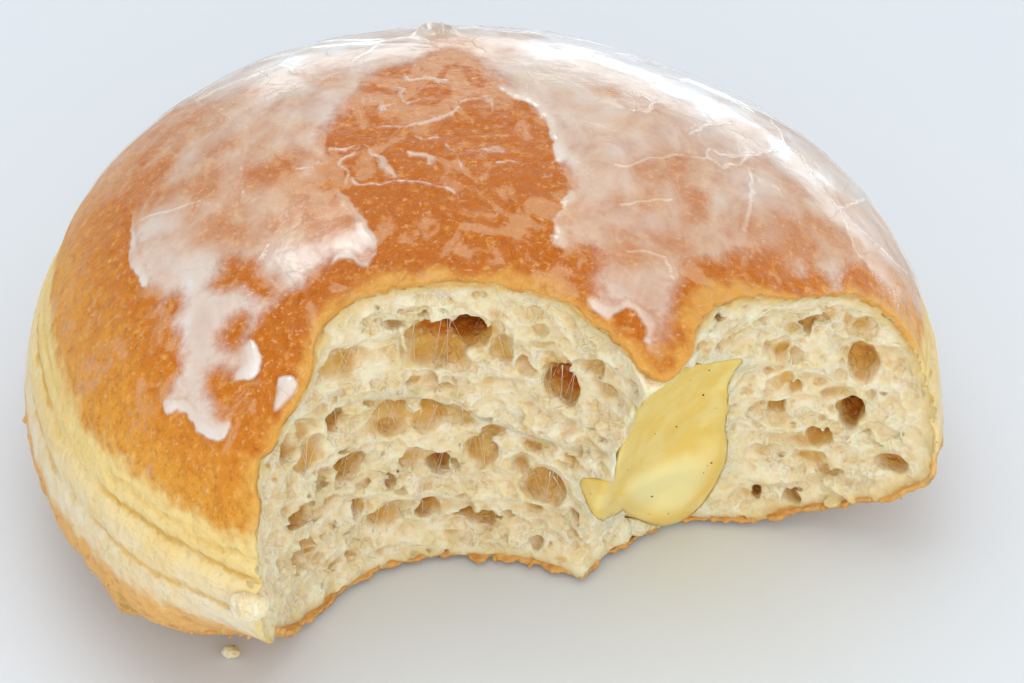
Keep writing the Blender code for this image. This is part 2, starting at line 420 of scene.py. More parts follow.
def turnsOf(triangles, middles):
    # rows of a triangle's three corners and its edges' new ones, from each corner in turn
    return [np.concatenate([np.roll(part, -turn, 1) for part in (triangles, middles)], 1)
            for turn in range(3)]


def refine(flat, triangles, near):
    # halves the edges between marked corners, and splits the triangles to match
    count = len(flat)
    start, end, index = edgesOf(triangles, count)
    split = near[start] & near[end]
    flat = np.concatenate([flat, 0.5 * (flat[start[split]] + flat[end[split]])])
    middles = numbered(split, index, count)
    cuts = (middles >= 0).sum(1)
    result = [triangles[cuts == 0]]
    turns = turnsOf(triangles, middles)
    for rows in turns:
        result += pickEach(rows[(cuts == 1) & (rows[:, 3] >= 0)], (0, 3, 2), (3, 1, 2))
        result += pickEach(rows[(cuts == 2) & (rows[:, 5] < 0)], (3, 1, 4), (0, 3, 4), (0, 4, 2))
    result += pickEach(turns[0][cuts == 3], (0, 3, 5), (3, 1, 4), (5, 4, 2), (3, 4, 5))
    return flat, np.concatenate(result)


cutBetween = (0.04, 0.96)    # no cut comes closer to an edge's ends


def clip(flat, triangles, field):
    # keeps the surface where field is above zero, cut along the line where it is zero
    count = len(flat)
    keep = field > 0
    start, end, index = edgesOf(triangles, count)
    cut = keep[start] != keep[end]
    share = np.clip(field[start[cut]] / (field[start[cut]] - field[end[cut]]), *cutBetween)[:, None]
    flat = np.concatenate([flat, flat[start[cut]] * (1 - share) + flat[end[cut]] * share])
    middles = numbered(cut, index, count)
    kept = keep[triangles].sum(1)
    result = [triangles[kept == 3]]
    for rows in turnsOf(triangles, middles):
        first = keep[rows[:, 0]]
        result += pickEach(rows[(kept == 1) & first], (0, 3, 5))
        result += pickEach(rows[(kept == 2) & ~first], (3, 1, 2), (3, 2, 5))
    return keepUsed(flat, np.concatenate(result))


def closedShell(outer, inner, triangles):
    # an outer and an inner skin, joined by a rim along their open edges
    count = len(outer)
    start, end = triangles.ravel(), np.roll(triangles, -1, 1).ravel()
    open_ = ~np.isin(start * count + end, end * count + start)
    a, b = start[open_], end[open_]
    rim = np.concatenate([np.stack([b, a, a + count], 1), np.stack([b, a + count, b + count], 1)])
    return np.concatenate([outer, inner]), np.concatenate([triangles, triangles[:, ::-1] + count, rim])


def largestPart(points, triangles):
    # drops loose islands: every corner takes the lowest number that it can reach
    label = np.arange(len(points))
    start, end = triangles.ravel(), np.roll(triangles, -1, 1).ravel()
    while True:
        lowest = label.copy()
        np.minimum.at(lowest, start, label[end])
        np.minimum.at(lowest, end, label[start])
        lowest = lowest[lowest]
        if (lowest == label).all():
            break
        label = lowest
    main = np.bincount(label[triangles[:, 0]]).argmax()
    return keepUsed(points, triangles[label[triangles[:, 0]] == main])


def meshField(field, low, voxel):
    # the largest surface where a field on a grid is zero; the field is below zero in the material
    grid = openvdb.FloatGrid(float(field.max()))
    grid.copyFromArray(np.ascontiguousarray(field, np.float32), tolerance=0)
    grid.transform = openvdb.createLinearTransform(voxelSize=voxel)
    points, triangles, quads = grid.convertToPolygons(isovalue=0.0, adaptivity=0.0)
    triangles = np.concatenate([triangles.reshape(-1, 3), quads[:, [0, 1, 2]],
                                quads[:, [0, 2, 3]]]).astype(int)
    points = points.astype(float) + low
    corners = points[triangles]
    volume = np.einsum("ij,ij->i", corners[:, 0], np.cross(corners[:, 1], corners[:, 2])).sum()
    return largestPart(points, triangles if volume > 0 else triangles[:, ::-1])


def makeMesh(name, points, triangles):
    mesh = bpy.data.meshes.new(name)
    mesh.from_pydata(points * mm, [], triangles)
    mesh.shade_smooth()
    piece = bpy.data.objects.new(name, mesh)
    bpy.context.scene.collection.objects.link(piece)
    return piece


def cornersOf(piece):
    flatList = np.zeros(len(piece.data.vertices) * 3, np.float32)
    piece.data.vertices.foreach_get("co", flatList)
    return flatList.reshape(-1, 3).astype(float) / mm


def setCorners(piece, corners):
    piece.data.vertices.foreach_set("co", (corners * mm).astype(np.float32).ravel())


def addAttribute(piece, name, values, kind="FLOAT"):
    attribute = piece.data.attributes.new(name, kind, "POINT")
    key = "value" if kind == "FLOAT" else "vector"
    attribute.data.foreach_set(key, np.ascontiguousarray(values, np.float32).ravel())


def addLooks(piece, **looks):
    # attributes with a value for each corner, or one value for all
    for name, value in looks.items():
        addAttribute(piece, name, np.broadcast_to(value, len(piece.data.vertices)))


def trianglesOf(piece):
    return np.array([polygon.vertices[:] for polygon in piece.data.polygons if len(polygon.vertices) == 3])


strayDepth = 1.5    # corners that thinning leaves this far off the skin go back under it


def thinOut(piece, hidden, share):
    # fewer triangles where hidden is set, in place
    group = piece.vertex_groups.new(name="hidden")
    group.add(np.flatnonzero(hidden).tolist(), 1.0, "REPLACE")
    modifier = piece.modifiers.new("thin out", "DECIMATE")
    modifier.ratio = share
    modifier.vertex_group = group.name
    settle(piece)
    piece.vertex_groups.clear()
    corners = cornersOf(piece)
    astray = skinDepth(corners) < -strayDepth
    corners[astray] = skinPlace(flatPlace(corners[astray]), -crust["thickness"])
    setCorners(piece, corners)


def settle(piece):
    # turns the modifiers' result into the piece's own plain mesh
    graph = bpy.context.evaluated_depsgraph_get()
    mesh = bpy.data.meshes.new_from_object(piece.evaluated_get(graph), depsgraph=graph)
    piece.modifiers.clear()
    old = piece.data
    piece.data = mesh
    bpy.data.meshes.remove(old)
    mesh.name = piece.name


def triangleCount(piece):
    return sum(len(polygon.vertices) - 2 for polygon in piece.data.polygons)


# Torn faces: the bites' smooth ovals made uneven, with ledges where the layers of dough gave way
torn = {"swell": (9.0, 0.55), "layers": ((7.0, 7.0, 1.5), 0.42), "rough": (1.4, 0.22), "fine": (0.65, 0.11)}
# the tip left standing between the bites: its middle, its way in plan, how far it stands out, half sizes
tip = {"middle": (19.6, -25.8, 38.0), "way": (0.51, 0.86), "rise": 2.7, "size": (6.0, 2.7, 7.0)}
# the foot of the torn faces runs out over the table, with a gap under its edge
foot = {"out": 1.1, "height": 4.5, "gap": 0.6, "back": 4.0}
# where crust and crumb reach further over the bite: pixel, how far, half width, half height
brows = ((788, 281, 3.0, 8.5, 5.0), (268, 382, 6.0, 6.0, 4.6))
browPlaces = hitDough([brow[:2] for brow in brows])


def browLift(points):
    lift = 0
    for place, (_, _, rise, wide, high) in zip(browPlaces, brows):
        away = (points - place) / (wide, wide, high)
        lift = lift + rise * np.exp(-(away ** 2).sum(1))
    return lift


def tornDepth(points):
    depth = biteDepth(points) + foot["out"] * smoothStep(-points[:, 2], -foot["height"], -0.5)
    x, y, z = (points - tip["middle"]).T
    a, b = tip["way"]
    wide, deep, high = tip["size"]
    spread = ((x * a + y * b) / wide) ** 2 + ((x * b - y * a) / deep) ** 2 + (z / high) ** 2
    lift = tip["rise"] * np.exp(-spread) + browLift(points)
    return depth + bumpLayers(points, torn.values(), seeds["torn"], lift)


# Crust: creases round the pale band, puffs, wrinkles and a rough browned rim
# each crease: level, depth, width, share of its colour
crust = {"creases": ((23.6, 0.30, 0.8, 0.5), (21.8, 0.70, 0.7, 1.0), (18.0, 0.50, 0.7, 0.7)),
         "domeFrom": 24.6, "domeBlend": 2.2, "domeStep": 0.25, "creaseWander": 0.7, "wanderLength": 16.0,
         "creaseStrength": (0.75, 0.5, 11.0), "puff": (14.0, 0.30), "dimple": (4.5, 0.10),
         "grain": (1.6, 0.045), "rimLevel": 14.4, "rimRough": (1.6, 0.34),
         "ragged": ((1.7, 0.24), (0.6, 0.20)), "lipTop": -0.22, "lipBase": 0.22, "lipLevels": (9, 2),
         "spacing": 0.66, "finer": (2.2, 1.0), "thickness": 0.55, "innerRough": (1.1, 0.7, 0.6),
         "hiddenFrom": 1.5, "hiddenKept": 0.62, "rimBlend": (0.8, 0.4), "rimOffTable": (0.4, 3),
         "tipRagged": 1.2, "filmSoft": 4.0, "filmFall": -2.0}
# where a thin film of glaze clouds the bare crust, partly painted as a pinkish sheen: pixel, share
filmAndSheenSpots = ((440, 75, 0.85), (405, 88, 0.70), (360, 118, 0.55), (345, 165, 0.75), (375, 200, 0.30),
             (420, 238, 0.70), (445, 215, 0.45), (475, 245, 0.60), (520, 215, 0.60), (545, 185, 0.45),
             (440, 140, 0.30), (480, 165, 0.45), (515, 150, 0.45), (500, 128, 0.50), (330, 110, 0.80),
             (480, 92, 0.70), (400, 165, 0.15), (420, 200, 0.15), (372, 225, 0.55), (560, 225, 0.60),
             (540, 265, 0.40), (400, 265, 0.30), (480, 285, 0.15), (100, 250, 0.15), (150, 300, 0.45),
             (160, 350, 0.45), (120, 330, 0.25), (80, 300, 0.15), (140, 420, 0.15), (200, 470, 0.10),
             (240, 410, 0.20), (360, 255, 0.35), (850, 300, 0.30), (740, 275, 0.40), (690, 300, 0.30),
             (620, 330, 0.25))


def footGap(points):
    # how far the base is off the table near the torn faces
    return foot["gap"] * smoothStep(-tornDepth(points), -foot["back"], -0.3)


def creaseDepth(points):
    wander = crust["creaseWander"] * bumps(points * (1, 1, 0), crust["wanderLength"], seeds["creaseWander"])
    level = points[:, 2] + wander
    dip = 0
    for number, (crease, depth, width, _) in enumerate(crust["creases"]):
        least, more, length = crust["creaseStrength"]
        strength = least + more * bumps(points * (1, 1, 0), length, seeds["creaseDepth"] + number)
        dip = dip + depth * strength * np.exp(-((level - crease) / width) ** 2)
    return level, dip


def skinRelief(points):
    level, dip = creaseDepth(points)
    lift = -dip
    dome = smoothStep(level, crust["domeFrom"], crust["domeFrom"] + crust["domeBlend"])
    lift = lift + crust["domeStep"] * dome
    lift = bumpLayers(points, [crust[key] for key in ("puff", "dimple", "grain")], seeds["skin"], lift)
    above, below = crust["rimBlend"]
    rim = smoothStep(-level, -crust["rimLevel"] - above, -crust["rimLevel"] + below)
    rim = rim * smoothStep(points[:, 2], *crust["rimOffTable"])
    size, height = crust["rimRough"]
    return lift + rim * height * bumps(points, size, seeds["rim"])


# the ridge's left side, where the crust has come off: an outline in the picture
bareTip = ((602, 345), (618, 356), (636, 369), (650, 377), (663, 383), (669, 392), (660, 405), (648, 415),
           (632, 409), (616, 385))


def offTip(points):
    # how far inside that outline a point is, in millimetres
    inside = np.full(len(points), -9.0)
    near = (np.abs(points[:, 0] - tip["middle"][0]) < 12) & (points[:, 1] < -12) & (points[:, 2] > 24)
    inside[near] = insideBy(toPixels(points[near]), roundOutline(bareTip)) / pixelsPerMm
    return inside


def crustEdge(points):
    # how far inside its torn edge the crust is; it reaches past the crumb, most at the base
    high, base = crust["lipLevels"]
    low = smoothStep(-points[:, 2], -high, -base)
    ragged = bumpLayers(points, crust["ragged"], seeds["ragged"])
    lip = crust["lipTop"] + (crust["lipBase"] - crust["lipTop"]) * low
    return np.minimum(tornDepth(points) + lip + ragged * (0.5 + 1.5 * low),
                      crust["tipRagged"] * ragged - offTip(points))


def makeCrust():
    flat, triangles = skinGrid(crust["spacing"])
    for reach in crust["finer"]:
        near = np.abs(crustEdge(skinPlace(flat))) < reach
        flat, triangles = refine(flat, triangles, near)
    flat, triangles = clip(flat, triangles, crustEdge(skinPlace(flat)))
    plain = skinPlace(flat)
    relief = skinRelief(plain)
    outer = skinPlace(flat, relief)
    gap = footGap(plain)
    outer[:, 2] = np.maximum(outer[:, 2], gap)
    inner = skinPlace(flat, np.minimum(relief, 0) - crust["thickness"])
    size, middle, height = crust["innerRough"]
    rough = np.clip(middle + height * bumps(plain, size, seeds["inside"]), 0.3, 1.3)
    inner[:, 2] = np.maximum(inner[:, 2], gap + crust["thickness"] * rough)
    points, triangles = closedShell(outer, inner, triangles)
    piece = makeMesh("crust", points, triangles)
    hidden = np.arange(len(points)) >= len(outer)
    edge = np.concatenate([crustEdge(plain)] * 2)
    print("crust before thinning", triangleCount(piece))
    thinOut(piece, hidden & (edge > crust["hiddenFrom"]), crust["hiddenKept"])
    corners = cornersOf(piece)
    # the film's share, which also paints a pinkish sheen on the bare crust
    places = flatPlace(hitDough([spot[:2] for spot in filmAndSheenSpots], bitten=False))
    weight = (((flatPlace(corners)[:, None] - places) ** 2).sum(-1) + crust["filmSoft"]) ** crust["filmFall"]
    film = (weight * [spot[2] for spot in filmAndSheenSpots]).sum(1) / weight.sum(1)
    addLooks(piece, edge=crustEdge(corners), crease=creaseDepth(corners)[0], film=film)
    print("crust", triangleCount(piece), "triangles")
    return piece


crustPiece = makeCrust()


# Custard: its outline as the picture shows it, and how far it stands out of the bitten face
custard = {"outline": ((742, 359), (720, 362), (700, 366), (675, 377), (662, 388), (649, 396), (640, 407),
                       (636, 422), (629, 434), (623, 447), (617, 462), (615, 476), (615, 490), (620, 504),
                       (632, 515), (649, 523), (666, 525), (682, 521), (695, 511), (707, 497), (717, 480),
                       (725, 461), (727, 446), (724, 430), (726, 416), (727, 400), (728, 385), (733, 373)),
           "lobe": ((581, 481), (594, 479), (609, 482), (620, 488), (624, 505), (613, 514), (600, 519),
                    (590, 508)), "flat": 0.25, "bulge": 3.9, "bulgeFrom": 424, "bulgeTo": 484,
           "slant": (669, 0.28), "edge": 4.6, "lobeRise": 0.45, "lobeEdge": 1.2, "skirt": 0.45,
           "skirtDrop": 1.6, "skirtFrom": -0.05, "wave": (4.0, 0.10), "slope": 0.75,
           "blends": (0.35, 0.3, 0.8), "underSkin": 0.5, "clear": (0.05, 0.3), "behind": 7.0,
           "box": ((8.0, -33.0, 0.0), (32.0, -2.0, 38.0)), "voxel": 0.24}
pictureLow, pictureHigh, pictureStep = np.array([555, 330]), np.array([785, 560]), 3


def pictureGrid():
    axes = [np.arange(a, b, pictureStep) for a, b in zip(pictureLow, pictureHigh)]
    return np.stack(np.meshgrid(*axes, indexing="ij"), -1).astype(float)


def readPicture(table, pixels):
    # a table over the custard's part of the picture
    place = np.clip((pixels - pictureLow) / pictureStep, 0, np.array(table.shape) - lastPlace)
    return readBetween(table, *place.T)


def outlineTable(corners):
    # distance inside an outline, in millimetres, round the custard
    grid = pictureGrid()
    inside = insideBy(grid.reshape(-1, 2), roundOutline(corners))
    return inside.reshape(grid.shape[:2]) / pixelsPerMm


def faceTable(soften):
    # how far from the camera the bitten dough is, with the ridge between the bites rounded off
    grid = pictureGrid()
    rays = rayThrough(grid.reshape(-1, 2))
    steps = alongRay(60, 0.25)
    span, known = np.zeros(len(rays)), np.zeros(len(rays))
    for number, ray in enumerate(rays):
        points = viewFrom + ray * steps[:, None]
        depth = biteDepth(points)
        near = np.abs(depth) < 2.5
        depth[near] = tornDepth(points[near])
        inside = (depth > 0) & (skinDepth(points) > 0)
        span[number], known[number] = steps[inside.argmax()], inside.any()
    sums = [(span * known).reshape(grid.shape[:2]), known.reshape(grid.shape[:2])]
    weights = np.exp(-np.linspace(-2.5, 2.5, 2 * soften + 1) ** 2 / 2)
    for axis in (0, 1):
        margin = [(soften, soften) if side == axis else (0, 0) for side in (0, 1)]
        for index, table in enumerate(sums):
            padded, places = np.pad(table, margin), np.arange(table.shape[axis])
            sums[index] = sum(weight * np.take(padded, places + k, axis) for k, weight in enumerate(weights))
    return sums[0] / np.maximum(sums[1], 1e-6)


custardOutline = outlineTable(custard["outline"])
lobeOutline = outlineTable(custard["lobe"])
custardFace = faceTable(4)


def pillow(inside, edge):
    return np.sqrt(1 - (1 - np.clip(inside / edge, 0, 1)) ** 2)


def skirt(inside):
    # the custard falls back at its edge and runs on under the crumb
    return custard["skirtDrop"] * smoothStep(-inside, custard["skirtFrom"], custard["skirt"])


def custardSwell(pixels, inside):
    # how far the custard stands out: most in its lower part, which has sagged
    place = pixels[:, 1] + custard["slant"][1] * (pixels[:, 0] - custard["slant"][0])
    low = smoothStep(place, custard["bulgeFrom"], custard["bulgeTo"])
    return (custard["flat"] + custard["bulge"] * low) * pillow(inside, custard["edge"]) - skirt(inside)


def lobeSwell(inside):
    return custard["lobeRise"] * pillow(inside, custard["lobeEdge"]) - skirt(inside)


def custardFrame(points):
    # place in the picture, distances inside both outlines and distance behind the bitten face
    pixels = toPixels(points)
    behind = np.linalg.norm(points - viewFrom, axis=1) - readPicture(custardFace, pixels)
    return pixels, readPicture(custardOutline, pixels), readPicture(lobeOutline, pixels), behind


def custardField(points):
    # below zero in the custard
    pixels, inside, lobe, behind = custardFrame(points)
    size, height = custard["wave"]
    bodyBlend, lobeBlend, jointBlend = custard["blends"]
    rise = custardSwell(pixels, inside) + height * bumps(points, size, seeds["custard"])
    body = -smoothMin(custard["slope"] * (behind + rise), inside + custard["skirt"], bodyBlend)
    side = -smoothMin(custard["slope"] * (behind + lobeSwell(lobe)), lobe + custard["skirt"], lobeBlend)
    body = np.maximum(smoothMin(body, side, jointBlend), biteDepth(points) - custard["behind"])
    return np.maximum(body, custard["underSkin"] - skinDepth(points))


def custardClear(points):
    # above zero where no crumb is left: in front of the custard, inside its outline
    pixels, inside, lobe, behind = custardFrame(points)
    beside, over = custard["clear"]
    body = np.minimum(inside + beside, over - behind - custardSwell(pixels, inside))
    side = np.minimum(lobe + beside, over - behind - lobeSwell(lobe))
    return np.maximum(body, side)


def boxGrid(low, high, voxel):
    axes = [np.arange(a, b, voxel) for a, b in zip(low, high)]
    return np.stack(np.meshgrid(*axes, indexing="ij"), -1)


def makeCustard():
    low, high = np.array(custard["box"])
    grid = boxGrid(low, high, custard["voxel"])
    points = grid.reshape(-1, 3)
    near = np.abs(biteDepth(points)) < custard["behind"] + 1.5
    field = np.full(len(points), 2.0)
    field[near] = custardField(points[near])
    corners, triangles = meshField(field.reshape(grid.shape[:3]), low, custard["voxel"])
    piece = makeMesh("custardFilling", corners, triangles)
    pixels = toPixels(corners)
    # how far it stands out, which also places the painted light on the bulge
    addLooks(piece, swell=custardSwell(pixels, readPicture(custardOutline, pixels)))
    print("custard", triangleCount(piece), "triangles")
    return piece


custardPiece = makeCustard()


# Crumb: gas holes placed by the picture, then foam cells of two sizes between them
# each hole: pixel, half width, half height, depth in millimetres
holes = ((437, 347, 3.4, 4.0, 2.6), (465, 337, 2.4, 2.3, 6.5), (398, 325, 0.9, 0.7, 2.0),
         (341, 367, 3.3, 1.9, 1.9), (502, 353, 1.3, 2.1, 1.2), (527, 367, 0.9, 1.5, 1.6),
         (559, 388, 2.1, 2.6, 3.2), (600, 394, 1.9, 1.6, 1.6), (546, 347, 1.3, 0.7, 0.8),
         (339, 426, 1.0, 1.5, 1.8), (388, 423, 2.3, 2.2, 1.9), (429, 420, 1.7, 1.7, 1.7),
         (458, 420, 1.3, 1.5, 1.1), (311, 455, 2.4, 2.2, 1.3), (351, 468, 2.0, 1.6, 2.8),
         (389, 482, 0.9, 1.1, 1.6), (417, 461, 1.9, 2.0, 1.2), (443, 467, 1.6, 1.5, 3.0),
         (481, 455, 2.0, 2.6, 1.9), (520, 470, 0.9, 1.6, 1.5), (543, 490, 2.4, 2.5, 2.2),
         (326, 505, 1.9, 1.2, 1.2), (300, 518, 1.7, 1.1, 2.6), (361, 511, 1.1, 1.5, 1.7),
         (388, 520, 2.1, 2.1, 2.0), (429, 511, 1.2, 1.8, 2.7), (473, 520, 2.2, 1.4, 3.0),
         (534, 511, 1.1, 0.6, 1.4), (574, 520, 0.8, 0.9, 1.4), (301, 555, 2.4, 2.3, 2.0),
         (385, 551, 0.9, 0.6, 0.9), (505, 518, 0.9, 0.9, 1.3), (572, 536, 0.9, 0.7, 0.9),
         (537, 543, 0.8, 0.8, 1.2), (258, 630, 1.6, 0.5, 1.8), (850, 418, 1.3, 1.8, 4.2),
         (862, 368, 1.5, 2.4, 3.0), (778, 413, 1.1, 1.9, 3.0), (820, 440, 1.6, 1.3, 2.8),
         (890, 466, 1.8, 1.1, 2.8), (794, 497, 1.1, 0.7, 3.2), (798, 391, 0.8, 1.2, 1.8),
         (776, 347, 1.3, 0.8, 1.5), (819, 334, 0.7, 0.6, 1.2), (748, 381, 1.2, 1.2, 1.0),
         (769, 375, 1.1, 0.8, 1.0), (775, 443, 0.8, 0.5, 1.3), (764, 454, 1.3, 0.7, 1.3),
         (809, 463, 1.1, 0.5, 1.4), (830, 474, 1.2, 0.8, 1.5), (746, 468, 0.8, 0.6, 1.0),
         (735, 411, 0.7, 0.8, 1.4), (735, 438, 0.5, 1.3, 1.4), (797, 357, 0.7, 1.0, 1.4),
         (821, 377, 0.5, 1.0, 1.0), (757, 495, 0.6, 0.8, 2.2), (869, 398, 0.8, 0.8, 1.4),
         (894, 402, 0.8, 1.1, 0.9), (741, 347, 1.2, 0.7, 0.9), (794, 331, 1.0, 0.7, 0.9),
         (839, 329, 0.6, 0.6, 1.3))
crumb = {"voxel": 0.24, "slab": 7.0, "underSkin": 0.30, "opening": 0.22, "shallow": 0.85, "warp": (1.6, 0.45),
         "rim": 0.3, "cells": (((3.3, 3.3, 2.2), 0.10, 1.2), ((1.75, 1.75, 1.2), 0.18, 0.35),
                               ((1.0, 1.0, 0.75), 0.14, 0.0)), "wall": 0.13,
         "dimples": (((4.6, 4.6, 3.2), 0.95), ((2.1, 2.1, 1.5), 0.50), ((0.95, 0.95, 0.75), 0.26)),
         "seam": 1.2, "splitPoint": (19.5, -13.0), "splitWay": (0.73, 0.68), "sink": 0.35,
         "box": ((-24.0, -48.0, 0.0), (50.5, -1.0, 44.0)), "reach": 2.7, "mostTriangles": 190000,
         "mostKept": 0.8, "behindCustard": 0.2, "hidden": (4.5, 0.25), "bareSkin": 2.5,
         "ledgeWave": (2.4, 3.0), "ledgeEnds": (4, 14), "cellBlend": 0.12, "openedTo": 0.36,
         "dimpleLeast": 0.35, "nearCrust": (0.8, 3.2, 0.25), "nearCustard": (0.2, 2.4), "front": 2.8,
         "skinGap": 0.08, "underFrom": (0.5, 1.5), "deepHoles": 3.5, "calmUnder": (-4.5, -2.2),
         "besideCustard": 1.2, "lumpBlend": 0.4, "browReach": 8, "crustOff": -0.4}
# lumps and flaps of crumb that stand out: pixel, half width, half height, depth in millimetres, degrees
lumps = ((841, 489, 2.3, 0.75, 1.0, -28), (833, 500, 0.9, 0.5, 0.8, 0), (436, 326, 1.3, 0.35, 1.2, 12),
         (448, 330, 0.9, 0.3, 1.2, -20), (452, 466, 0.22, 0.9, 0.8, 0), (402, 338, 0.28, 1.6, 0.8, 6),
         (560, 556, 1.5, 0.6, 0.8, 10))
# ledges where a layer of crumb stands out over the next: how far it stands out and falls back, then its line
ledges = ((0.75, 0.65, ((322, 420), (345, 407), (362, 400), (380, 397), (395, 394), (415, 397), (450, 407),
                        (484, 421), (516, 432), (545, 441), (580, 452))),
          (0.55, 0.60, ((266, 510), (290, 503), (311, 499), (339, 496), (381, 495), (420, 499), (437, 495),
                        (465, 503), (500, 500), (540, 505), (575, 512))),
          (0.40, 0.45, ((330, 549), (361, 553), (390, 545), (423, 545), (451, 552), (490, 545), (530, 548))),
          (0.45, 0.50, ((305, 352), (335, 347), (360, 344), (385, 338), (410, 329))),
          (0.50, 0.55, ((734, 366), (760, 362), (790, 366), (815, 372), (840, 378))),
          (0.45, 0.50, ((733, 428), (765, 432), (800, 436), (840, 446), (880, 450), (920, 446))),
          (0.40, 0.45, ((738, 478), (770, 484), (810, 484), (850, 480), (900, 476))))


def ledgeRelief(points):
    # how far the ledges lift the torn face
    pixels = toPixels(points)
    size, wave = crumb["ledgeWave"]
    before, within = crumb["ledgeEnds"]
    lift = 0
    for proud, back, line in ledges:
        line = np.array(line, float)
        below = pixels[:, 1] - np.interp(pixels[:, 0], line[:, 0], line[:, 1])
        below = below + wave * bumps(points, size, seeds["ledges"])
        share = smoothStep(pixels[:, 0], line[0, 0] - before, line[0, 0] + within)
        share = share * smoothStep(-pixels[:, 0], -line[-1, 0] - before, -line[-1, 0] + within)
        step = proud * np.exp(-((below + 5) / 7) ** 2)
        step = step - back * smoothStep(below, -1, 2.5) * np.exp(-np.maximum(below, 0) / 13)
        lift = lift + share * step
    return lift


def faceFrame(places):
    # inward normal, level tangent and rising tangent of the bitten face
    step = 0.3
    inward = np.stack([biteDepth(places + np.eye(3)[axis] * step) - biteDepth(places - np.eye(3)[axis] * step)
                       for axis in range(3)], 1)
    inward /= np.linalg.norm(inward, axis=1)[:, None]
    level = np.cross(inward, (0, 0, 1.0))
    level /= np.linalg.norm(level, axis=1)[:, None]
    return inward, level, np.cross(level, inward)


def onFace(spots):
    # each spot's place, its inward, level and rising ways, and its sizes
    places = hitDough([spot[:2] for spot in spots])
    return zip(places, *faceFrame(places), [spot[2:] for spot in spots])


cellRadius = 0.66    # of a round cell, in cell sizes


def openCells(points, size, wall, chance, seed):
    # above zero inside the cells of a foam that the torn face has opened
    nearest, second, centre, luck = foamCells(points, size, seed)
    middle = float(np.prod(size)) ** (1 / 3)
    room = 0.5 * (second - nearest) * middle - wall
    room = smoothMin(room, (cellRadius - nearest) * middle, crumb["cellBlend"] * middle)
    centreDepth = biteDepth(centre.astype(float))
    return np.where((luck < chance) & (centreDepth < crumb["openedTo"] * middle), room, -1.0)


# where the crumb is golden: pixel, reach in pixels, share
toastSpots = ((322, 312, 9, 0.7), (338, 300, 10, 1.0), (356, 291, 11, 1.0), (376, 283, 10, 0.9),
              (396, 279, 8, 0.5), (425, 405, 6, 0.8), (437, 398, 5, 0.6), (466, 405, 5, 0.5),
              (391, 360, 5, 0.4), (500, 313, 5, 0.5), (268, 466, 4, 0.6), (275, 480, 4, 0.7),
              (830, 312, 9, 0.8), (849, 320, 8, 0.7), (800, 340, 8, 0.4), (640, 406, 6, 0.3),
              (540, 432, 7, 0.4), (562, 560, 6, 0.6), (876, 356, 8, 0.7), (903, 360, 6, 0.5),
              (706, 352, 6, 0.6), (855, 372, 7, 0.5), (600, 470, 6, 0.3), (505, 405, 6, 0.3))


def toastAt(points):
    pixels = toPixels(points)
    toast = np.zeros(len(points))
    for x, y, reach, share in toastSpots:
        toast = np.maximum(toast, share * np.exp(-((pixels - (x, y)) ** 2).sum(1) / reach ** 2))
    return toast


def awayFromCustard(points):
    # 0 at the custard's edge, 1 well away from it
    pixels = toPixels(points)
    inside = np.maximum(readPicture(custardOutline, pixels), readPicture(lobeOutline, pixels))
    return smoothStep(-inside, *crumb["nearCustard"])


def crumbRelief(points, warped, skin):
    # shallow cells and ledges on the torn face, calmer close to the crust
    lift = ledgeRelief(points)
    for seed, (size, depth) in enumerate(crumb["dimples"], seeds["dimples"]):
        nearest, second, _, luck = foamCells(warped, size, seed)
        cell = np.clip(1 - (nearest / cellRadius) ** 2, 0, 1) * smoothStep(second - nearest, 0.0, 0.3)
        lift = lift - depth * (crumb["dimpleLeast"] + luck) * cell
    low, high, least = crumb["nearCrust"]
    return lift * (least + (1 - least) * smoothStep(skin, low, high)) * awayFromCustard(points)


def crumbField(points, skin):
    # below zero in the crumb
    depth = tornDepth(points)
    size, reach = crumb["warp"]
    warped = points + bumpWay(points, size, seeds["warp"]) * reach
    front = depth < crumb["front"]
    depth[front] += crumbRelief(points[front], warped[front], skin[front])
    gap = crumb["skinGap"]
    under = gap + (crumb["underSkin"] - gap) * smoothStep(depth, *crumb["underFrom"])
    outside = under - skin - np.minimum(skinRelief(points), 0)
    hidden = np.maximum(outside, footGap(points) + under - points[:, 2])
    solid = np.maximum(-depth, np.maximum(depth - crumb["slab"], hidden))
    hollow = np.full(len(points), -1.0)
    for place, inner, across, up, sizes in onFace(holes):
        wide, high, deep = (size / math.sqrt(1 - crumb["opening"] ** 2) for size in sizes)
        deep *= crumb["shallow"] if deep < crumb["deepHoles"] else 1
        near = np.linalg.norm(points - place, axis=1) < max(wide, high, deep) * 1.6 + 0.5
        way = warped[near] - place - inner * crumb["opening"] * deep
        a, b, c = way @ across / wide, way @ up / high, way @ inner / deep
        spread = np.sqrt(a ** 2 + b ** 2 + c ** 2)
        room = (1 - spread) * min(wide, high, deep)
        hollow[near] = np.maximum(hollow[near], room)
    quiet = smoothStep(-skin[front], *crumb["calmUnder"])    # only small cells close to the crust
    beside = crumb["besideCustard"] * (1 - awayFromCustard(points[front]))
    for seed, (size, chance, calm) in enumerate(crumb["cells"], seeds["cells"]):
        cells = openCells(warped[front], size, crumb["wall"], chance, seed) - quiet * calm - beside
        hollow[front] = np.where(hollow[front] > -0.25, hollow[front], np.maximum(hollow[front], cells))
    field = -smoothMin(-solid, -hollow, crumb["rim"])
    for place, inner, across, up, (wide, high, deep, turn) in onFace(lumps):
        near = np.linalg.norm(points - place, axis=1) < 2.5 * max(wide, high, deep)
        way = warped[near] - place
        a, b = turned(way @ across, way @ up, -math.radians(turn))
        spread = np.sqrt((a / wide) ** 2 + (b / high) ** 2 + ((way @ inner) / deep) ** 2)
        field[near] = smoothMin(field[near], (spread - 1) * min(wide, high, deep), crumb["lumpBlend"])
    return field


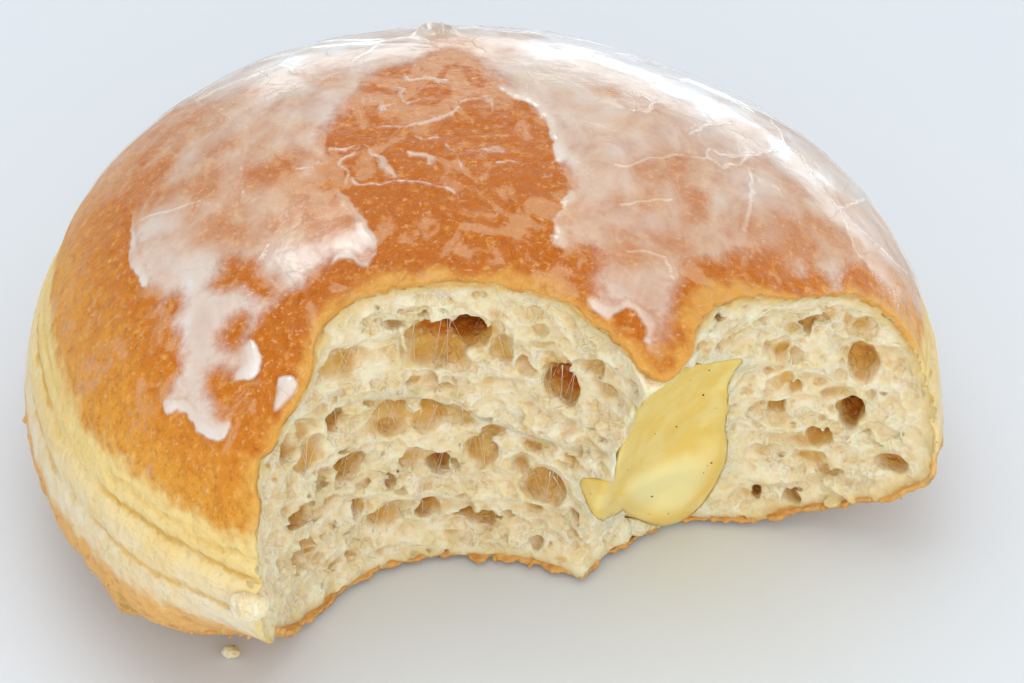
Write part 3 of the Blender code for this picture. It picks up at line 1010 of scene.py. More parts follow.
def makeCrumbs():
    low, high = np.array(crumb["box"])
    grid = boxGrid(low, high, crumb["voxel"])
    shape = grid.shape[:3]
    points = grid.reshape(-1, 3).astype(np.float32)
    depth = biteDepth(points)
    skin = skinDepth(points)
    near = depth > -crumb["reach"]
    beyond = (depth > -crumb["browReach"]) & ~near
    near[beyond] = depth[beyond] + browLift(points[beyond]) > -crumb["reach"]
    near &= (skin > -0.1) & (depth < crumb["slab"] + 1.2)
    field = np.full(len(points), 1.0, np.float32)    # above zero: no crumb
    places = points[near].astype(float)
    inCrumb = crumbField(places, skin[near])
    filling = np.full(len(places), 2.0)
    box = (places[:, 0] > custard["box"][0][0]) & (places[:, 0] < custard["box"][1][0])
    filling[box] = np.minimum(custardField(places[box]) + crumb["behindCustard"], -custardClear(places[box]))
    inCrumb = np.maximum(inCrumb, -filling)
    point, way = crumb["splitPoint"], crumb["splitWay"]
    side = (places[:, 0] - point[0]) * way[0] + (places[:, 1] - point[1]) * way[1]
    ledge = np.array(ledges[0][2], float)
    pixels = toPixels(places)
    below = (pixels[:, 1] - np.interp(pixels[:, 0], ledge[:, 0], ledge[:, 1])) / pixelsPerMm
    cuts = (("crumbUpper", np.maximum(below, side)), ("crumbLower", np.maximum(-below, side)),
            ("crumbRight", -side))
    pieces = []
    for name, cut in cuts:
        # each piece sinks under its neighbour before it ends
        sunk = inCrumb + crumb["sink"] * smoothStep(cut, -crumb["seam"], 0)
        field[near] = np.maximum(sunk, cut - crumb["seam"])
        corners, triangles = meshField(field.reshape(shape), low, crumb["voxel"])
        piece = makeMesh(name, corners, triangles)
        before = triangleCount(piece)
        deep, under = crumb["hidden"]
        hidden = (biteDepth(corners) > deep) | (skinDepth(corners) < crumb["underSkin"] + under)
        thinOut(piece, hidden, min(crumb["mostTriangles"] / before, crumb["mostKept"]))
        corners = cornersOf(piece)
        skinHere = skinDepth(corners)
        # no crust colour on lumps that stand out, nor where the crust is off
        bare = (skinHere < 0) | (offTip(corners) > crumb["crustOff"])
        # the depth also sets the crumb's painted shade down in the holes
        addLooks(piece, depth=tornDepth(corners), skin=np.where(bare, crumb["bareSkin"], skinHere),
                 toast=toastAt(corners))
        print(name, before, "then", triangleCount(piece), "triangles")
        pieces.append(piece)
    return pieces


crumbPieces = makeCrumbs()


# Glaze: its lower edge in the picture from left to right, then round the hidden back
glazeEdge = ((68, 238), (82, 224), (100, 213), (118, 207), (131, 216), (131, 236), (129, 261), (140, 287),
             (157, 304), (168, 327), (176, 345), (177, 372), (165, 401), (171, 412), (183, 415), (193, 430),
             (212, 442), (229, 439), (232, 422), (222, 404), (214, 390), (217, 377), (230, 382), (248, 381),
             (262, 371), (262, 354), (258, 338), (268, 322), (281, 307), (296, 295), (311, 291), (318, 281),
             (331, 271), (347, 262), (366, 271), (376, 263), (377, 243), (365, 224), (355, 204), (341, 195),
             (330, 184), (325, 170), (333, 156), (328, 145), (336, 131), (353, 112), (374, 86), (395, 76),
             (418, 70), (441, 58), (456, 56), (473, 66), (489, 88), (512, 103), (528, 109), (541, 121),
             (549, 140), (555, 163), (564, 183), (563, 202), (555, 222), (551, 246), (567, 254), (589, 257),
             (590, 268), (586, 277), (585, 294), (590, 311), (607, 322), (626, 314), (639, 322), (644, 345),
             (654, 361), (664, 357), (672, 342), (676, 325), (679, 298), (690, 282), (706, 269), (724, 271),
             (741, 263), (757, 262), (773, 265), (783, 277), (800, 279), (815, 275), (824, 282), (828, 293),
             (835, 298), (841, 290), (844, 279), (857, 272), (871, 284), (885, 297), (892, 308), (898, 316),
             (906, 311), (913, 322), (922, 318))
bareSpots = (((232, 264), (241, 273), (249, 268), (257, 279), (267, 286), (269, 297), (259, 294), (251, 289),
              (246, 283), (237, 285), (219, 286), (232, 279)),
             ((163, 318), (168, 306), (176, 302), (179, 309), (174, 317), (168, 323)),
             ((229, 342), (233, 331), (241, 322), (245, 324), (241, 334), (236, 344)))
loosePatch = ((280, 378), (293, 376), (300, 385), (297, 396), (288, 404), (279, 413), (274, 411), (275, 399),
              (277, 388))
# thin ridges of dried glaze on the bare crust, and cracks in the glaze
glazeThreads = (((332, 153), (348, 150), (365, 151), (376, 156), (382, 170), (399, 177)),
                ((345, 187), (343, 170), (345, 158), (357, 154)),
                ((352, 182), (376, 187), (399, 182), (422, 185), (441, 189), (457, 199)),
                ((359, 107), (376, 107), (384, 115), (390, 108)),
                ((392, 95), (401, 99), (413, 106), (426, 102)),
                ((382, 127), (407, 130), (426, 128), (441, 120), (453, 111)),
                ((411, 139), (418, 144), (434, 142)), ((468, 155), (484, 153), (503, 155)),
                ((459, 107), (472, 101), (486, 103), (493, 115)), ((499, 168), (510, 163), (518, 166)),
                ((408, 158), (420, 160), (430, 166)), ((404, 77), (413, 84), (427, 81), (440, 86)),
                ((446, 150), (455, 158), (458, 170)))
glazeCracks = (((616, 171), (640, 168), (669, 160), (690, 162), (705, 163), (708, 153), (720, 162),
                (747, 160), (780, 153)), ((705, 163), (721, 173), (737, 168), (747, 160)),
               ((628, 114), (646, 117), (656, 106), (633, 95)), ((690, 140), (708, 129), (730, 128)),
               ((767, 124), (776, 138), (783, 150), (799, 160), (809, 180), (822, 196), (835, 209),
                (843, 225), (852, 251), (865, 271)), ((839, 212), (848, 206), (861, 203)),
               ((841, 215), (856, 230), (871, 245), (888, 262), (904, 278)),
               ((747, 173), (752, 196), (747, 212), (744, 235)), ((620, 209), (640, 207), (668, 204)),
               ((144, 222), (172, 214), (200, 206)), ((256, 280), (262, 260), (270, 248)),
               ((296, 173), (320, 172)), ((627, 254), (648, 256), (665, 262), (671, 285)))
# how milky the glaze is: pixel, share; shares above 1, along the top rim, paint a white sheen
glazeMilkAndSheen = ((145, 245, 0.80), (185, 285, 0.85), (215, 335, 0.90), (205, 405, 0.90), (248, 366, 0.90),
             (230, 225, 0.32), (300, 200, 0.35), (330, 230, 0.40), (185, 175, 0.55), (160, 190, 0.20),
             (215, 190, 0.40), (250, 140, 0.62), (300, 105, 0.80), (350, 80, 0.70), (300, 262, 0.75),
             (350, 250, 0.85), (300, 290, 0.75), (110, 215, 0.25), (560, 110, 0.80), (600, 75, 0.80),
             (640, 110, 0.62), (600, 140, 0.75), (600, 190, 0.62), (690, 185, 0.55), (720, 200, 0.62),
             (650, 225, 0.66), (775, 205, 0.66), (740, 235, 0.60), (700, 262, 0.60), (640, 285, 0.62),
             (615, 310, 0.78), (660, 340, 0.62), (690, 250, 0.55), (800, 160, 0.75), (850, 215, 0.50),
             (800, 245, 0.35), (880, 270, 0.65), (905, 315, 0.60), (836, 290, 0.80), (470, 50, 0.60),
             (740, 130, 0.70), (289, 388, 0.85), (279, 408, 0.85), (500, 40, 1.00), (560, 51, 1.25),
             (620, 67, 1.30), (680, 91, 1.30), (730, 118, 1.25), (775, 148, 1.15), (815, 182, 1.10),
             (850, 218, 1.05), (882, 262, 0.95), (908, 300, 0.85), (400, 38, 0.90), (340, 48, 1.00),
             (280, 68, 0.90), (190, 122, 0.50), (770, 185, 0.66), (720, 225, 0.62), (830, 235, 0.52),
             (780, 230, 0.54), (690, 205, 0.60), (655, 190, 0.62))
# where the glaze ends in a thick white rim
glazeRims = (((500, 97), (520, 101), (537, 112), (546, 126), (551, 143), (556, 158)),
             ((345, 190), (355, 204), (366, 226), (377, 245)),
             ((131, 216), (130, 240), (131, 263), (141, 287)),
             ((170, 408), (185, 415), (198, 430), (213, 440), (229, 436)),
             ((376, 262), (362, 270), (347, 263)), ((591, 311), (607, 321), (626, 314), (640, 324),
                                                    (645, 345)), ((563, 202), (555, 222), (552, 246)),
             ((282, 382), (292, 383), (287, 395), (280, 406)), ((258, 352), (262, 366), (248, 380)))
glaze = {"backEdge": 25.5, "backWave": 2.2, "dripEvery": 3, "drip": 6.5, "edge": 2.2, "thin": 0.11,
         "thick": 0.30, "thread": 0.40, "threadRise": 0.22, "crackWidth": 0.11, "crackDepth": 0.05,
         "ridge": 0.07, "ridgeAt": 0.10, "rimRise": 0.24, "plate": 10.0, "bead": (437, 38, 1.9, 1.5),
         "wander": ((3.2, 0.55), (1.2, 0.45), (0.55, 0.28)), "wanderShare": 0.6, "threadRough": (1.9, 0.9),
         "threadWiggle": (1.8, 0.8), "rimWidth": 1.3, "rimPatches": (2.2, 0.8, 0.6),
         "crackWiggle": (1.3, 0.35), "platesFrom": (12, 24), "platePatches": (15, -0.25), "margin": 1.4,
         "finer": (1.3, 0.5), "crackFiner": 0.6, "finest": (0.18, 16), "inCrust": 0.25, "reach": 62,
         "ridgeWidth": 0.12, "under": 0.12, "over": 0.05, "mostTriangles": 185000, "mostKept": 0.66}


def flatOf(pixels):
    return flatPlace(hitDough(pixels, bitten=False))


def backOfGlaze():
    # the lower edge round the back, with drips, from the right end to the left end
    random = np.random.default_rng(seeds["back"])
    corners = []
    for number, degrees in enumerate(np.arange(2, 166, 5.5)):
        level = glaze["backEdge"] + glaze["backWave"] * random.uniform(-1, 1)
        if number % glaze["dripEvery"] == 1:
            level -= glaze["drip"] * random.uniform(0.4, 1)
        corners.append(flatFromLevel(degrees + random.uniform(-1.5, 1.5), level))
    return corners


glazeOutline = roundOutline(np.concatenate([flatOf(glazeEdge), backOfGlaze()]), 3)
bareOutlines = [roundOutline(flatOf(spot), 3) for spot in bareSpots]
patchOutline = roundOutline(flatOf(loosePatch), 3)
threadLines = [flatOf(line) for line in glazeThreads]
rimLines = [flatOf(line) for line in glazeRims]
crackLines = [flatOf(line) for line in glazeCracks]
milkAndSheenSpots = flatOf([spot[:2] for spot in glazeMilkAndSheen])
milkAndSheenShares = np.array([spot[2] for spot in glazeMilkAndSheen])


milkAndSheenSpread = {"soft": 6.0, "fall": -2.2, "farFrom": (12, 26), "farShare": 0.75,
             "patches": ((7.0, 0.16), (2.6, 0.12)), "between": (0.05, 1.3)}


def onPlane(flat, level=0.0):
    return np.concatenate([flat, np.full((len(flat), 1), level)], 1)


def nearestOf(flat, lines):
    # distance to the nearest of the lines, at most 9 mm
    return np.min([np.full(len(flat), 9.0)] + [lineDistance(flat, line) for line in lines], 0)


def glazeInside(flat):
    # distance inside the glaze's edge, with the threads and the loose patch
    plain = onPlane(flat)
    wander = bumpLayers(plain, glaze["wander"], seeds["glazeEdge"])
    main = insideBy(flat, glazeOutline) + wander * glaze["wanderShare"]
    for spot in bareOutlines:
        main = np.minimum(main, -insideBy(flat, spot))
    main = np.maximum(main, insideBy(flat, patchOutline))
    size, change = glaze["threadRough"]
    width = glaze["thread"] * (1 + change * bumps(plain, size, seeds["threadWidth"]))
    size, reach = glaze["threadWiggle"]
    wiggled = flat + reach * bumpWay(plain, size, seeds["threadWiggle"])
    return main, width - nearestOf(wiggled, threadLines)


def milkAndSheenAt(flat):
    # between the spots by distance, above 1 where a white sheen is painted; the back, far from any spot, has
    # an even share
    span = ((flat[:, None] - milkAndSheenSpots) ** 2).sum(-1) + milkAndSheenSpread["soft"]
    weight = span ** milkAndSheenSpread["fall"]
    low, high = milkAndSheenSpread["farFrom"]
    far = smoothStep(np.sqrt(span.min(1)), low, high)
    share = (weight * milkAndSheenShares).sum(1) / weight.sum(1) * (1 - far) + milkAndSheenSpread["farShare"] * far
    share = bumpLayers(onPlane(flat), milkAndSheenSpread["patches"], seeds["milk"], share)
    return np.clip(share, *milkAndSheenSpread["between"])


def rimAt(flat):
    # 1 on the thick white rims
    size, middle, change = glaze["rimPatches"]
    patches = np.clip(middle + change * bumps(onPlane(flat), size, seeds["rimPatches"]), 0, 1)
    return np.exp(-(nearestOf(flat, rimLines) / glaze["rimWidth"]) ** 2) * patches


def crackAt(flat):
    # distance to the nearest crack
    plain = onPlane(flat)
    size, reach = glaze["crackWiggle"]
    wiggled = flat + reach * bumpWay(plain, size, seeds["crackWiggle"])
    best = nearestOf(wiggled, crackLines)
    # round the back, the cracks are the edges of a flat foam's cells
    plates = (glaze["plate"], glaze["plate"], 1e6)
    nearest, second, _, _ = foamCells(onPlane(wiggled, 0.5), plates, seeds["plates"])
    low, high = glaze["platesFrom"]
    size, least = glaze["platePatches"]
    hidden = smoothStep(flat[:, 1], low, high) * (bumps(plain, size, seeds["platePatches"]) > least)
    return np.minimum(best, np.where(hidden > 0.5, 0.5 * (second - nearest) * glaze["plate"], 9.0))


def makeGlaze():
    flat, triangles = skinGrid(crust["spacing"])
    flat, triangles = keepUsed(flat, triangles[np.hypot(*flat[triangles].mean(1).T) < glaze["reach"]])

    def edgeField(places):
        main, threads = glazeInside(places)
        return np.minimum(np.maximum(main, threads), crustEdge(skinPlace(places)) - glaze["inCrust"])

    flat, triangles = clip(flat, triangles, edgeField(flat) + glaze["margin"])
    for reach in glaze["finer"]:
        near = (np.abs(edgeField(flat)) < reach) | (crackAt(flat) < reach * glaze["crackFiner"])
        flat, triangles = refine(flat, triangles, near)
    close, frontTo = glaze["finest"]
    flat, triangles = refine(flat, triangles, (crackAt(flat) < close) & (flat[:, 1] < frontTo))
    flat, triangles = clip(flat, triangles, edgeField(flat))
    main, threads = glazeInside(flat)
    inside = np.maximum(edgeField(flat), 0)
    crack = crackAt(flat)
    plain = skinPlace(flat)
    relief = skinRelief(plain)
    soft = relief - crust["grain"][1] * bumps(plain, crust["grain"][0], seeds["grain"])
    body = glaze["thin"] + (glaze["thick"] - glaze["thin"]) * milkAndSheenAt(flat)
    body = body * (1 - (1 - np.clip(inside / glaze["edge"], 0, 1)) ** 2) ** 0.5
    thread = glaze["threadRise"] * np.sqrt(np.clip(threads / glaze["thread"], 0, 1))
    body = body + glaze["rimRise"] * rimAt(flat) * smoothStep(inside, 0, 0.7)
    body = np.where(main > threads, body, thread)
    within = np.clip(inside, 0, 1)
    body = body - glaze["crackDepth"] * np.exp(-(crack / glaze["crackWidth"]) ** 2) * within
    body = body + glaze["ridge"] * np.exp(-((crack - glaze["ridgeAt"]) / glaze["ridgeWidth"]) ** 2) * within
    *beadPixel, wide, high = glaze["bead"]
    bead = np.exp(-(((flat - flatOf([beadPixel])) ** 2).sum(1) / wide ** 2) ** 1.5) * high
    outer = skinPlace(flat, np.maximum(relief + glaze["over"], soft + np.maximum(body, 0.02)) + bead)
    inner = skinPlace(flat, relief - glaze["under"])
    points, triangles = closedShell(outer, inner, triangles)
    piece = makeMesh("glaze", points, triangles)
    before = triangleCount(piece)
    share = min(glaze["mostKept"], glaze["mostTriangles"] / before)
    thinOut(piece, np.arange(len(points)) >= len(outer), share)
    corners = cornersOf(piece)
    flat = flatPlace(corners)
    main, threads = glazeInside(flat)
    addLooks(piece, milk=milkAndSheenAt(flat), rim=rimAt(flat), inside=main, thread=threads / glaze["thread"],
             crack=crackAt(flat))
    print("glaze", before, "then", triangleCount(piece), "triangles")
    return piece


glazePiece = makeGlaze()


# Scattered bits: Geometry Nodes trees put copies of a shard at points, each tree at points of its own
def wireUp(tree, nodes, wires):
    for source, output, target, entry in wires:
        tree.links.new(nodes[source].outputs[output], nodes[target].inputs[entry])
    return tree


def growTree(name, inputs, parts):
    tree = bpy.data.node_groups.new(name, "GeometryNodeTree")
    for label, kind in (("Host", "Geometry"), ("Shard", "Object"), ("Material", "Material"), *inputs):
        tree.interface.new_socket(label, in_out="INPUT", socket_type="NodeSocket" + kind)
    tree.interface.new_socket("Pieces", in_out="OUTPUT", socket_type="NodeSocketGeometry")
    parts = {"given": "NodeGroupInput", "shard": "GeometryNodeObjectInfo",
             "place": "GeometryNodeInstanceOnPoints", "realize": "GeometryNodeRealizeInstances",
             "dressed": "GeometryNodeSetMaterial", "result": "NodeGroupOutput", **parts}
    nodes = {key: tree.nodes.new(kind) for key, kind in parts.items()}
    wires = (("given", "Shard", "shard", "Object"), ("shard", "Geometry", "place", "Instance"),
             ("place", "Instances", "realize", "Geometry"), ("realize", "Geometry", "dressed", "Geometry"),
             ("given", "Material", "dressed", "Material"), ("dressed", "Geometry", "result", "Pieces"))
    return wireUp(tree, nodes, wires), nodes


def scatterTree():
    # copies on the faces of the host, turned and scaled at random
    inputs = (("Density", "Float"), ("Seed", "Int"), ("Smallest", "Float"), ("Largest", "Float"))
    tree, nodes = growTree("flakes", inputs, {"spread": "GeometryNodeDistributePointsOnFaces",
                                              "turn": "FunctionNodeRandomValue",
                                              "size": "FunctionNodeRandomValue"})
    nodes["turn"].data_type = "FLOAT_VECTOR"
    nodes["turn"].inputs["Max"].default_value = (math.tau, math.tau, math.tau)
    wires = (("given", "Host", "spread", "Mesh"), ("given", "Density", "spread", "Density"),
             ("given", "Seed", "spread", "Seed"), ("given", "Seed", "turn", "Seed"),
             ("given", "Seed", "size", "Seed"), ("given", "Smallest", "size", 2),
             ("given", "Largest", "size", 3), ("spread", "Points", "place", "Points"),
             ("turn", "Value", "place", "Rotation"), ("size", 1, "place", "Scale"))
    return wireUp(tree, nodes, wires)


def makeShard(size, rough, seed, finer=2):
    # a small uneven lump, a unit ball squeezed to size in millimetres
    bpy.ops.mesh.primitive_ico_sphere_add(subdivisions=finer, radius=1.0)
    shard = bpy.context.active_object
    corners = np.array([vertex.co[:] for vertex in shard.data.vertices])
    corners *= (1 + rough * bumps(corners, 0.7, seed))[:, None] * size * mm
    shard.data.vertices.foreach_set("co", corners.astype(np.float32).ravel())
    shard.data.shade_smooth()
    return shard


def shardMesh(size, rough, seed, finer=2):
    # the same lump as bare corners and triangles
    shard = makeShard(np.array(size), rough, seed, finer)
    corners, triangles = cornersOf(shard), trianglesOf(shard)
    bpy.data.objects.remove(shard)
    return corners, triangles


def growOn(name, piece, tree, values):
    # runs a tree on its host, which turns into the piece; the shard goes
    piece.name = name
    modifier = piece.modifiers.new("grow", "NODES")
    modifier.node_group = tree
    for item in tree.interface.items_tree:
        if item.in_out == "INPUT" and item.name in values:
            modifier[item.identifier] = values[item.name]
    settle(piece)
    bpy.data.objects.remove(values["Shard"])
    print(name, triangleCount(piece), "triangles")
    return piece


def hostFrom(piece, chosen):
    # a plain copy of a piece's chosen faces
    corners, triangles = cornersOf(piece), trianglesOf(piece)
    return makeMesh("host", *keepUsed(corners, triangles[chosen(corners[triangles].mean(1))]))


flakes = {"size": (0.46, 0.34, 0.13), "rough": 0.4, "density": 0.26e6, "scale": (0.3, 1.1), "seed": 9,
          "levels": (1.2, 12.6), "before": 20, "patches": (5.0, -0.2), "outside": 0.25}


def onRim(middle):
    # the rough brown rim, in patches, where the camera sees it
    low, high = flakes["levels"]
    length, least = flakes["patches"]
    outside = (skinDepth(middle) < flakes["outside"]) & (middle[:, 1] < flakes["before"])
    patches = bumps(middle, length, seeds["flakePatches"]) > least
    return outside & patches & (middle[:, 2] > low) & (middle[:, 2] < high)


def makeFlakes(material):
    shard = makeShard(flakes["size"], flakes["rough"], seeds["flake"])
    least, most = flakes["scale"]
    values = {"Shard": shard, "Density": flakes["density"], "Seed": flakes["seed"], "Smallest": least,
              "Largest": most, "Material": material}
    piece = growOn("rimFlakes", hostFrom(crustPiece, onRim), scatterTree(), values)
    addLooks(piece, edge=5.0, crease=0.0, film=0.0)
    return piece


# Vanilla specks in the custard, and the crumb that has dropped beside the left corner
# each speck: pixel, radius in millimetres
specks = ((711.4, 462.7, 0.11), (651.8, 496.3, 0.12), (702.9, 394.8, 0.12), (709, 370, 0.09),
          (676.3, 426.4, 0.11), (655, 433.7, 0.07), (627.6, 469.8, 0.06), (703.5, 472.7, 0.07),
          (707, 465.6, 0.06), (668.4, 513.5, 0.07), (649.3, 513.7, 0.06), (590.6, 493.7, 0.07),
          (690, 380, 0.05), (716, 408, 0.05), (662, 450, 0.05))
speckRough = 0.3
dropped = {"pixel": (231, 652), "size": (1.0, 0.75, 0.6), "rough": 0.3, "level": 0.7}


def makeSpecks():
    pixels = np.array([speck[:2] for speck in specks], float)
    rays = rayThrough(pixels)
    steps = alongRay(60, 0.05)
    points, triangles = [], []
    for ray, speck in zip(rays, specks):
        along = viewFrom + ray * steps[:, None]
        place = along[(custardField(along) < 0).argmax()]
        corners, faces = shardMesh([speck[2]] * 3, speckRough, int(speck[0]))
        triangles.append(faces + sum(len(part) for part in points))
        points.append(corners + place)
    return makeMesh("vanillaSpecks", np.concatenate(points), np.concatenate(triangles))


def makeDropped():
    corners, faces = shardMesh(dropped["size"], dropped["rough"], seeds["dropped"])
    ray = rayThrough(np.array([dropped["pixel"]], float))[0]
    place = viewFrom + ray * (dropped["level"] - viewFrom[2]) / ray[2]
    piece = makeMesh("droppedCrumb", corners + place, faces)
    addLooks(piece, depth=0.0, skin=2.0, toast=0.0)
    return piece


# The white lump of crumb on the left corner: half sizes across, up and towards the camera
cornerLump = {"pixel": (250, 606), "size": (1.65, 1.40, 1.2), "rough": ((1.3, 0.26), (0.4, 0.09)),
              "square": 0.75}


def makeCornerLump():
    corners, faces = shardMesh((1.0, 1.0, 1.0), 0.0, seeds["lump"], 5)
    swell = bumpLayers(corners, cornerLump["rough"], seeds["lumpRough"])
    squared = np.sign(corners) * np.abs(corners) ** cornerLump["square"]
    corners = squared * (1 + swell)[:, None] * cornerLump["size"]
    place = hitDough([cornerLump["pixel"]])[0]
    piece = makeMesh("cornerLump", place + corners @ np.stack([viewRight, viewUp, viewBack]), faces)
    addLooks(piece, depth=-1.0, skin=2.5, toast=0.0)
    return piece


# Strands of crumb across the gas holes: one thin thread, placed, turned and stretched by a host's points
strands = {"between": (270, 640), "perArea": 1.1, "most": 7, "deepest": 4.0, "thick": (0.018, 0.038),
           "lean": 0.7, "sink": (0.05, 0.75), "inFromFace": 0.15, "spread": 0.75, "over": 1.05, "sides": 5,
           "rings": 7, "sag": 5.0, "flare": 1.6, "seed": 23}


def makeThread():
    # a thread one millimetre long and one in radius, bent, and wider at its ends
    rings = []
    for along in np.linspace(-0.5, 0.5, strands["rings"]):
        angle = 2 * np.pi * np.arange(strands["sides"]) / strands["sides"]
        wide = 1 + strands["flare"] * (2 * abs(along)) ** 4
        bend = strands["sag"] * (0.25 - along ** 2)
        rings.append(np.stack([wide * np.cos(angle) + bend, wide * np.sin(angle), np.full(len(angle), along)],
                              1))
    count, last = strands["sides"], strands["sides"] * (strands["rings"] - 1)
    faces = []
    for start in range(0, last, count):
        for i in range(count):
            j = (i + 1) % count
            faces += [(start + i, start + j, start + count + j),
                      (start + i, start + count + j, start + count + i)]
    for i in range(1, count - 1):
        faces += [(0, i + 1, i), (last, last + i, last + i + 1)]
    return makeMesh("thread", np.concatenate(rings), np.array(faces))


def strandHost():
    # a point for every strand, with its way and its stretch
    random = np.random.default_rng(strands["seed"])
    first, last = strands["between"]
    middles, ways, stretches = [], [], []
    for hole, (place, inner, across, up, (wide, high, deep)) in zip(holes, onFace(holes)):
        strung = deep < strands["deepest"] and first < hole[0] < last
        count = min(strands["most"], round(strands["perArea"] * wide * high)) if strung else 0
        for _ in range(count):
            side = random.uniform(-strands["spread"], strands["spread"])
            reach = high * math.sqrt(1 - side ** 2) * strands["over"]
            lean = random.uniform(-1, 1) * strands["lean"] * wide
            sink = deep * random.uniform(*strands["sink"])
            way = up * 2 * reach + across * lean
            middles.append(place + across * side * wide + inner * (sink + strands["inFromFace"]))
            ways.append(way)
            thick = random.uniform(*strands["thick"])
            stretches.append((thick, thick, np.linalg.norm(way)))
    host = makeMesh("strandHost", np.array(middles), np.zeros((0, 3), int))
    addAttribute(host, "way", ways, "FLOAT_VECTOR")
    addAttribute(host, "stretch", stretches, "FLOAT_VECTOR")
    return host


def strandTree():
    # a copy at every point of the host, turned and stretched as the point's own values say
    tree, nodes = growTree("strands", (), {"way": "GeometryNodeInputNamedAttribute",
                                           "stretch": "GeometryNodeInputNamedAttribute",
                                           "turn": "FunctionNodeAlignRotationToVector"})
    for name in ("way", "stretch"):
        nodes[name].data_type = "FLOAT_VECTOR"
        nodes[name].inputs["Name"].default_value = name
    nodes["turn"].axis = "Z"
    wires = (("given", "Host", "place", "Points"), ("way", "Attribute", "turn", "Vector"),
             ("turn", "Rotation", "place", "Rotation"), ("stretch", "Attribute", "place", "Scale"))
    return wireUp(tree, nodes, wires)


def makeStrands(material):
    values = {"Shard": makeThread(), "Material": material}
    piece = growOn("crumbStrands", strandHost(), strandTree(), values)
    addLooks(piece, depth=0.8, skin=2.5, toast=0.0)
    return piece


# Shader sockets that take part in Python expressions
class Socket:
    def __init__(self, finish, socket):
        self.finish, self.socket = finish, socket

    def maths(self, operation, first, second):
        return self.finish.node("ShaderNodeMath", {"operation": operation}, {0: first, 1: second})

    def __add__(self, other):
        return self.maths("ADD", self, other)

    def __radd__(self, other):
        return self.maths("ADD", other, self)

    def __sub__(self, other):
        return self.maths("SUBTRACT", self, other)

    def __rsub__(self, other):
        return self.maths("SUBTRACT", other, self)

    def __mul__(self, other):
        return self.maths("MULTIPLY", self, other)

    def __abs__(self):
        return self.maths("ABSOLUTE", self, 0.0)


class Finish:
    # one material; its colours can be called by name
    def __init__(self, name, colours=None):
        self.colours = colours or {}
        self.material = bpy.data.materials.new(name)
        self.material.use_nodes = True
        self.tree = self.material.node_tree
        self.tree.nodes.clear()
        self.coords = self.node("ShaderNodeTexCoord", {}, {}, "Object")
        self.place = self.node("ShaderNodeVectorMath", {"operation": "SCALE"},
                               {0: self.coords, "Scale": 1000.0})

    def node(self, kind, settings, inputs, out=0):
        node = self.tree.nodes.new(kind)
        for key, value in settings.items():
            setattr(node, key, value)
        for key, value in inputs.items():
            if isinstance(value, Socket):
                self.tree.links.new(value.socket, node.inputs[key])
            else:
                node.inputs[key].default_value = self.colours[value] if isinstance(value, str) else value
        return Socket(self, node.outputs[out]) if len(node.outputs) else None

    def attribute(self, name):
        return self.node("ShaderNodeAttribute", {"attribute_name": name}, {}, "Fac")

    def level(self):
        return self.node("ShaderNodeSeparateXYZ", {}, {0: self.place}, "Z")

    def noise(self, scale, detail=2.0, rough=0.5, place=None, warp=0.0):
        inputs = {"Vector": place or self.place, "Scale": scale, "Detail": detail, "Roughness": rough,
                  "Distortion": warp}
        return self.node("ShaderNodeTexNoise", {}, inputs, "Fac")

    def plates(self, wave, scale):
        # distance to the edges of cells whose edges wander
        wander = self.node("ShaderNodeTexNoise", {}, {"Vector": self.place, "Scale": wave}, "Color")
        wavy = self.node("ShaderNodeVectorMath", {"operation": "ADD"}, {0: self.place, 1: wander})
        return self.node("ShaderNodeTexVoronoi", {"feature": "DISTANCE_TO_EDGE"},
                         {"Vector": wavy, "Scale": scale}, "Distance")

    def stretched(self, scales):
        return self.node("ShaderNodeVectorMath", {"operation": "MULTIPLY"}, {0: self.place, 1: scales})

    def ease(self, value, low, high):
        return self.node("ShaderNodeMapRange", {"interpolation_type": "SMOOTHSTEP"},
                         {"Value": value, "From Min": low, "From Max": high})

    def blend(self, share, first, second):
        return self.node("ShaderNodeMix", {"data_type": "RGBA"}, {0: share, 6: first, 7: second}, 2)

    def over(self, under, colour, value, low, high, share=None):
        # a colour laid on as a value goes from low to high
        amount = self.ease(value, low, high)
        return self.blend(amount if share is None else amount * share, under, colour)

    def bump(self, height, distance, strength=1.0, below=None):
        inputs = {"Height": height, "Distance": distance * mm, "Strength": strength}
        if below:
            inputs["Normal"] = below
        return self.node("ShaderNodeBump", {}, inputs)

    def surface(self, colour, rough, others=None, soft=()):
        # soft: how much light goes under the surface, how far by colour, and its scale in metres
        under = zip(("Subsurface Weight", "Subsurface Radius", "Subsurface Scale"), soft)
        inputs = {"Base Color": colour, "Roughness": rough, **dict(under), **(others or {})}
        shader = self.node("ShaderNodeBsdfPrincipled", {}, inputs)
        self.node("ShaderNodeOutputMaterial", {}, {"Surface": shader})
        return self.material


def colour(red, green, blue):
    # a screen colour, 0 to 255, as Blender's linear values
    shares = [value / 255 for value in (red, green, blue)]
    return (*(((share + 0.055) / 1.055) ** 2.4 if share > 0.04 else share / 12.92 for share in shares), 1.0)


def colours(**screen):
    return {name: colour(*values) for name, values in screen.items()}


crustColours = colours(deep=(195, 105, 0), fried=(210, 122, 20), golden=(230, 160, 56), dark=(170, 76, 10),
                       light=(244, 186, 104), lip=(238, 184, 92), film=(222, 166, 120), band=(248, 218, 146),
                       bandLow=(243, 227, 194), crease=(240, 202, 122), fold=(232, 178, 70),
                       rim=(238, 184, 110), base=(230, 172, 98), scorch=(196, 126, 60), glint=(250, 208, 160))


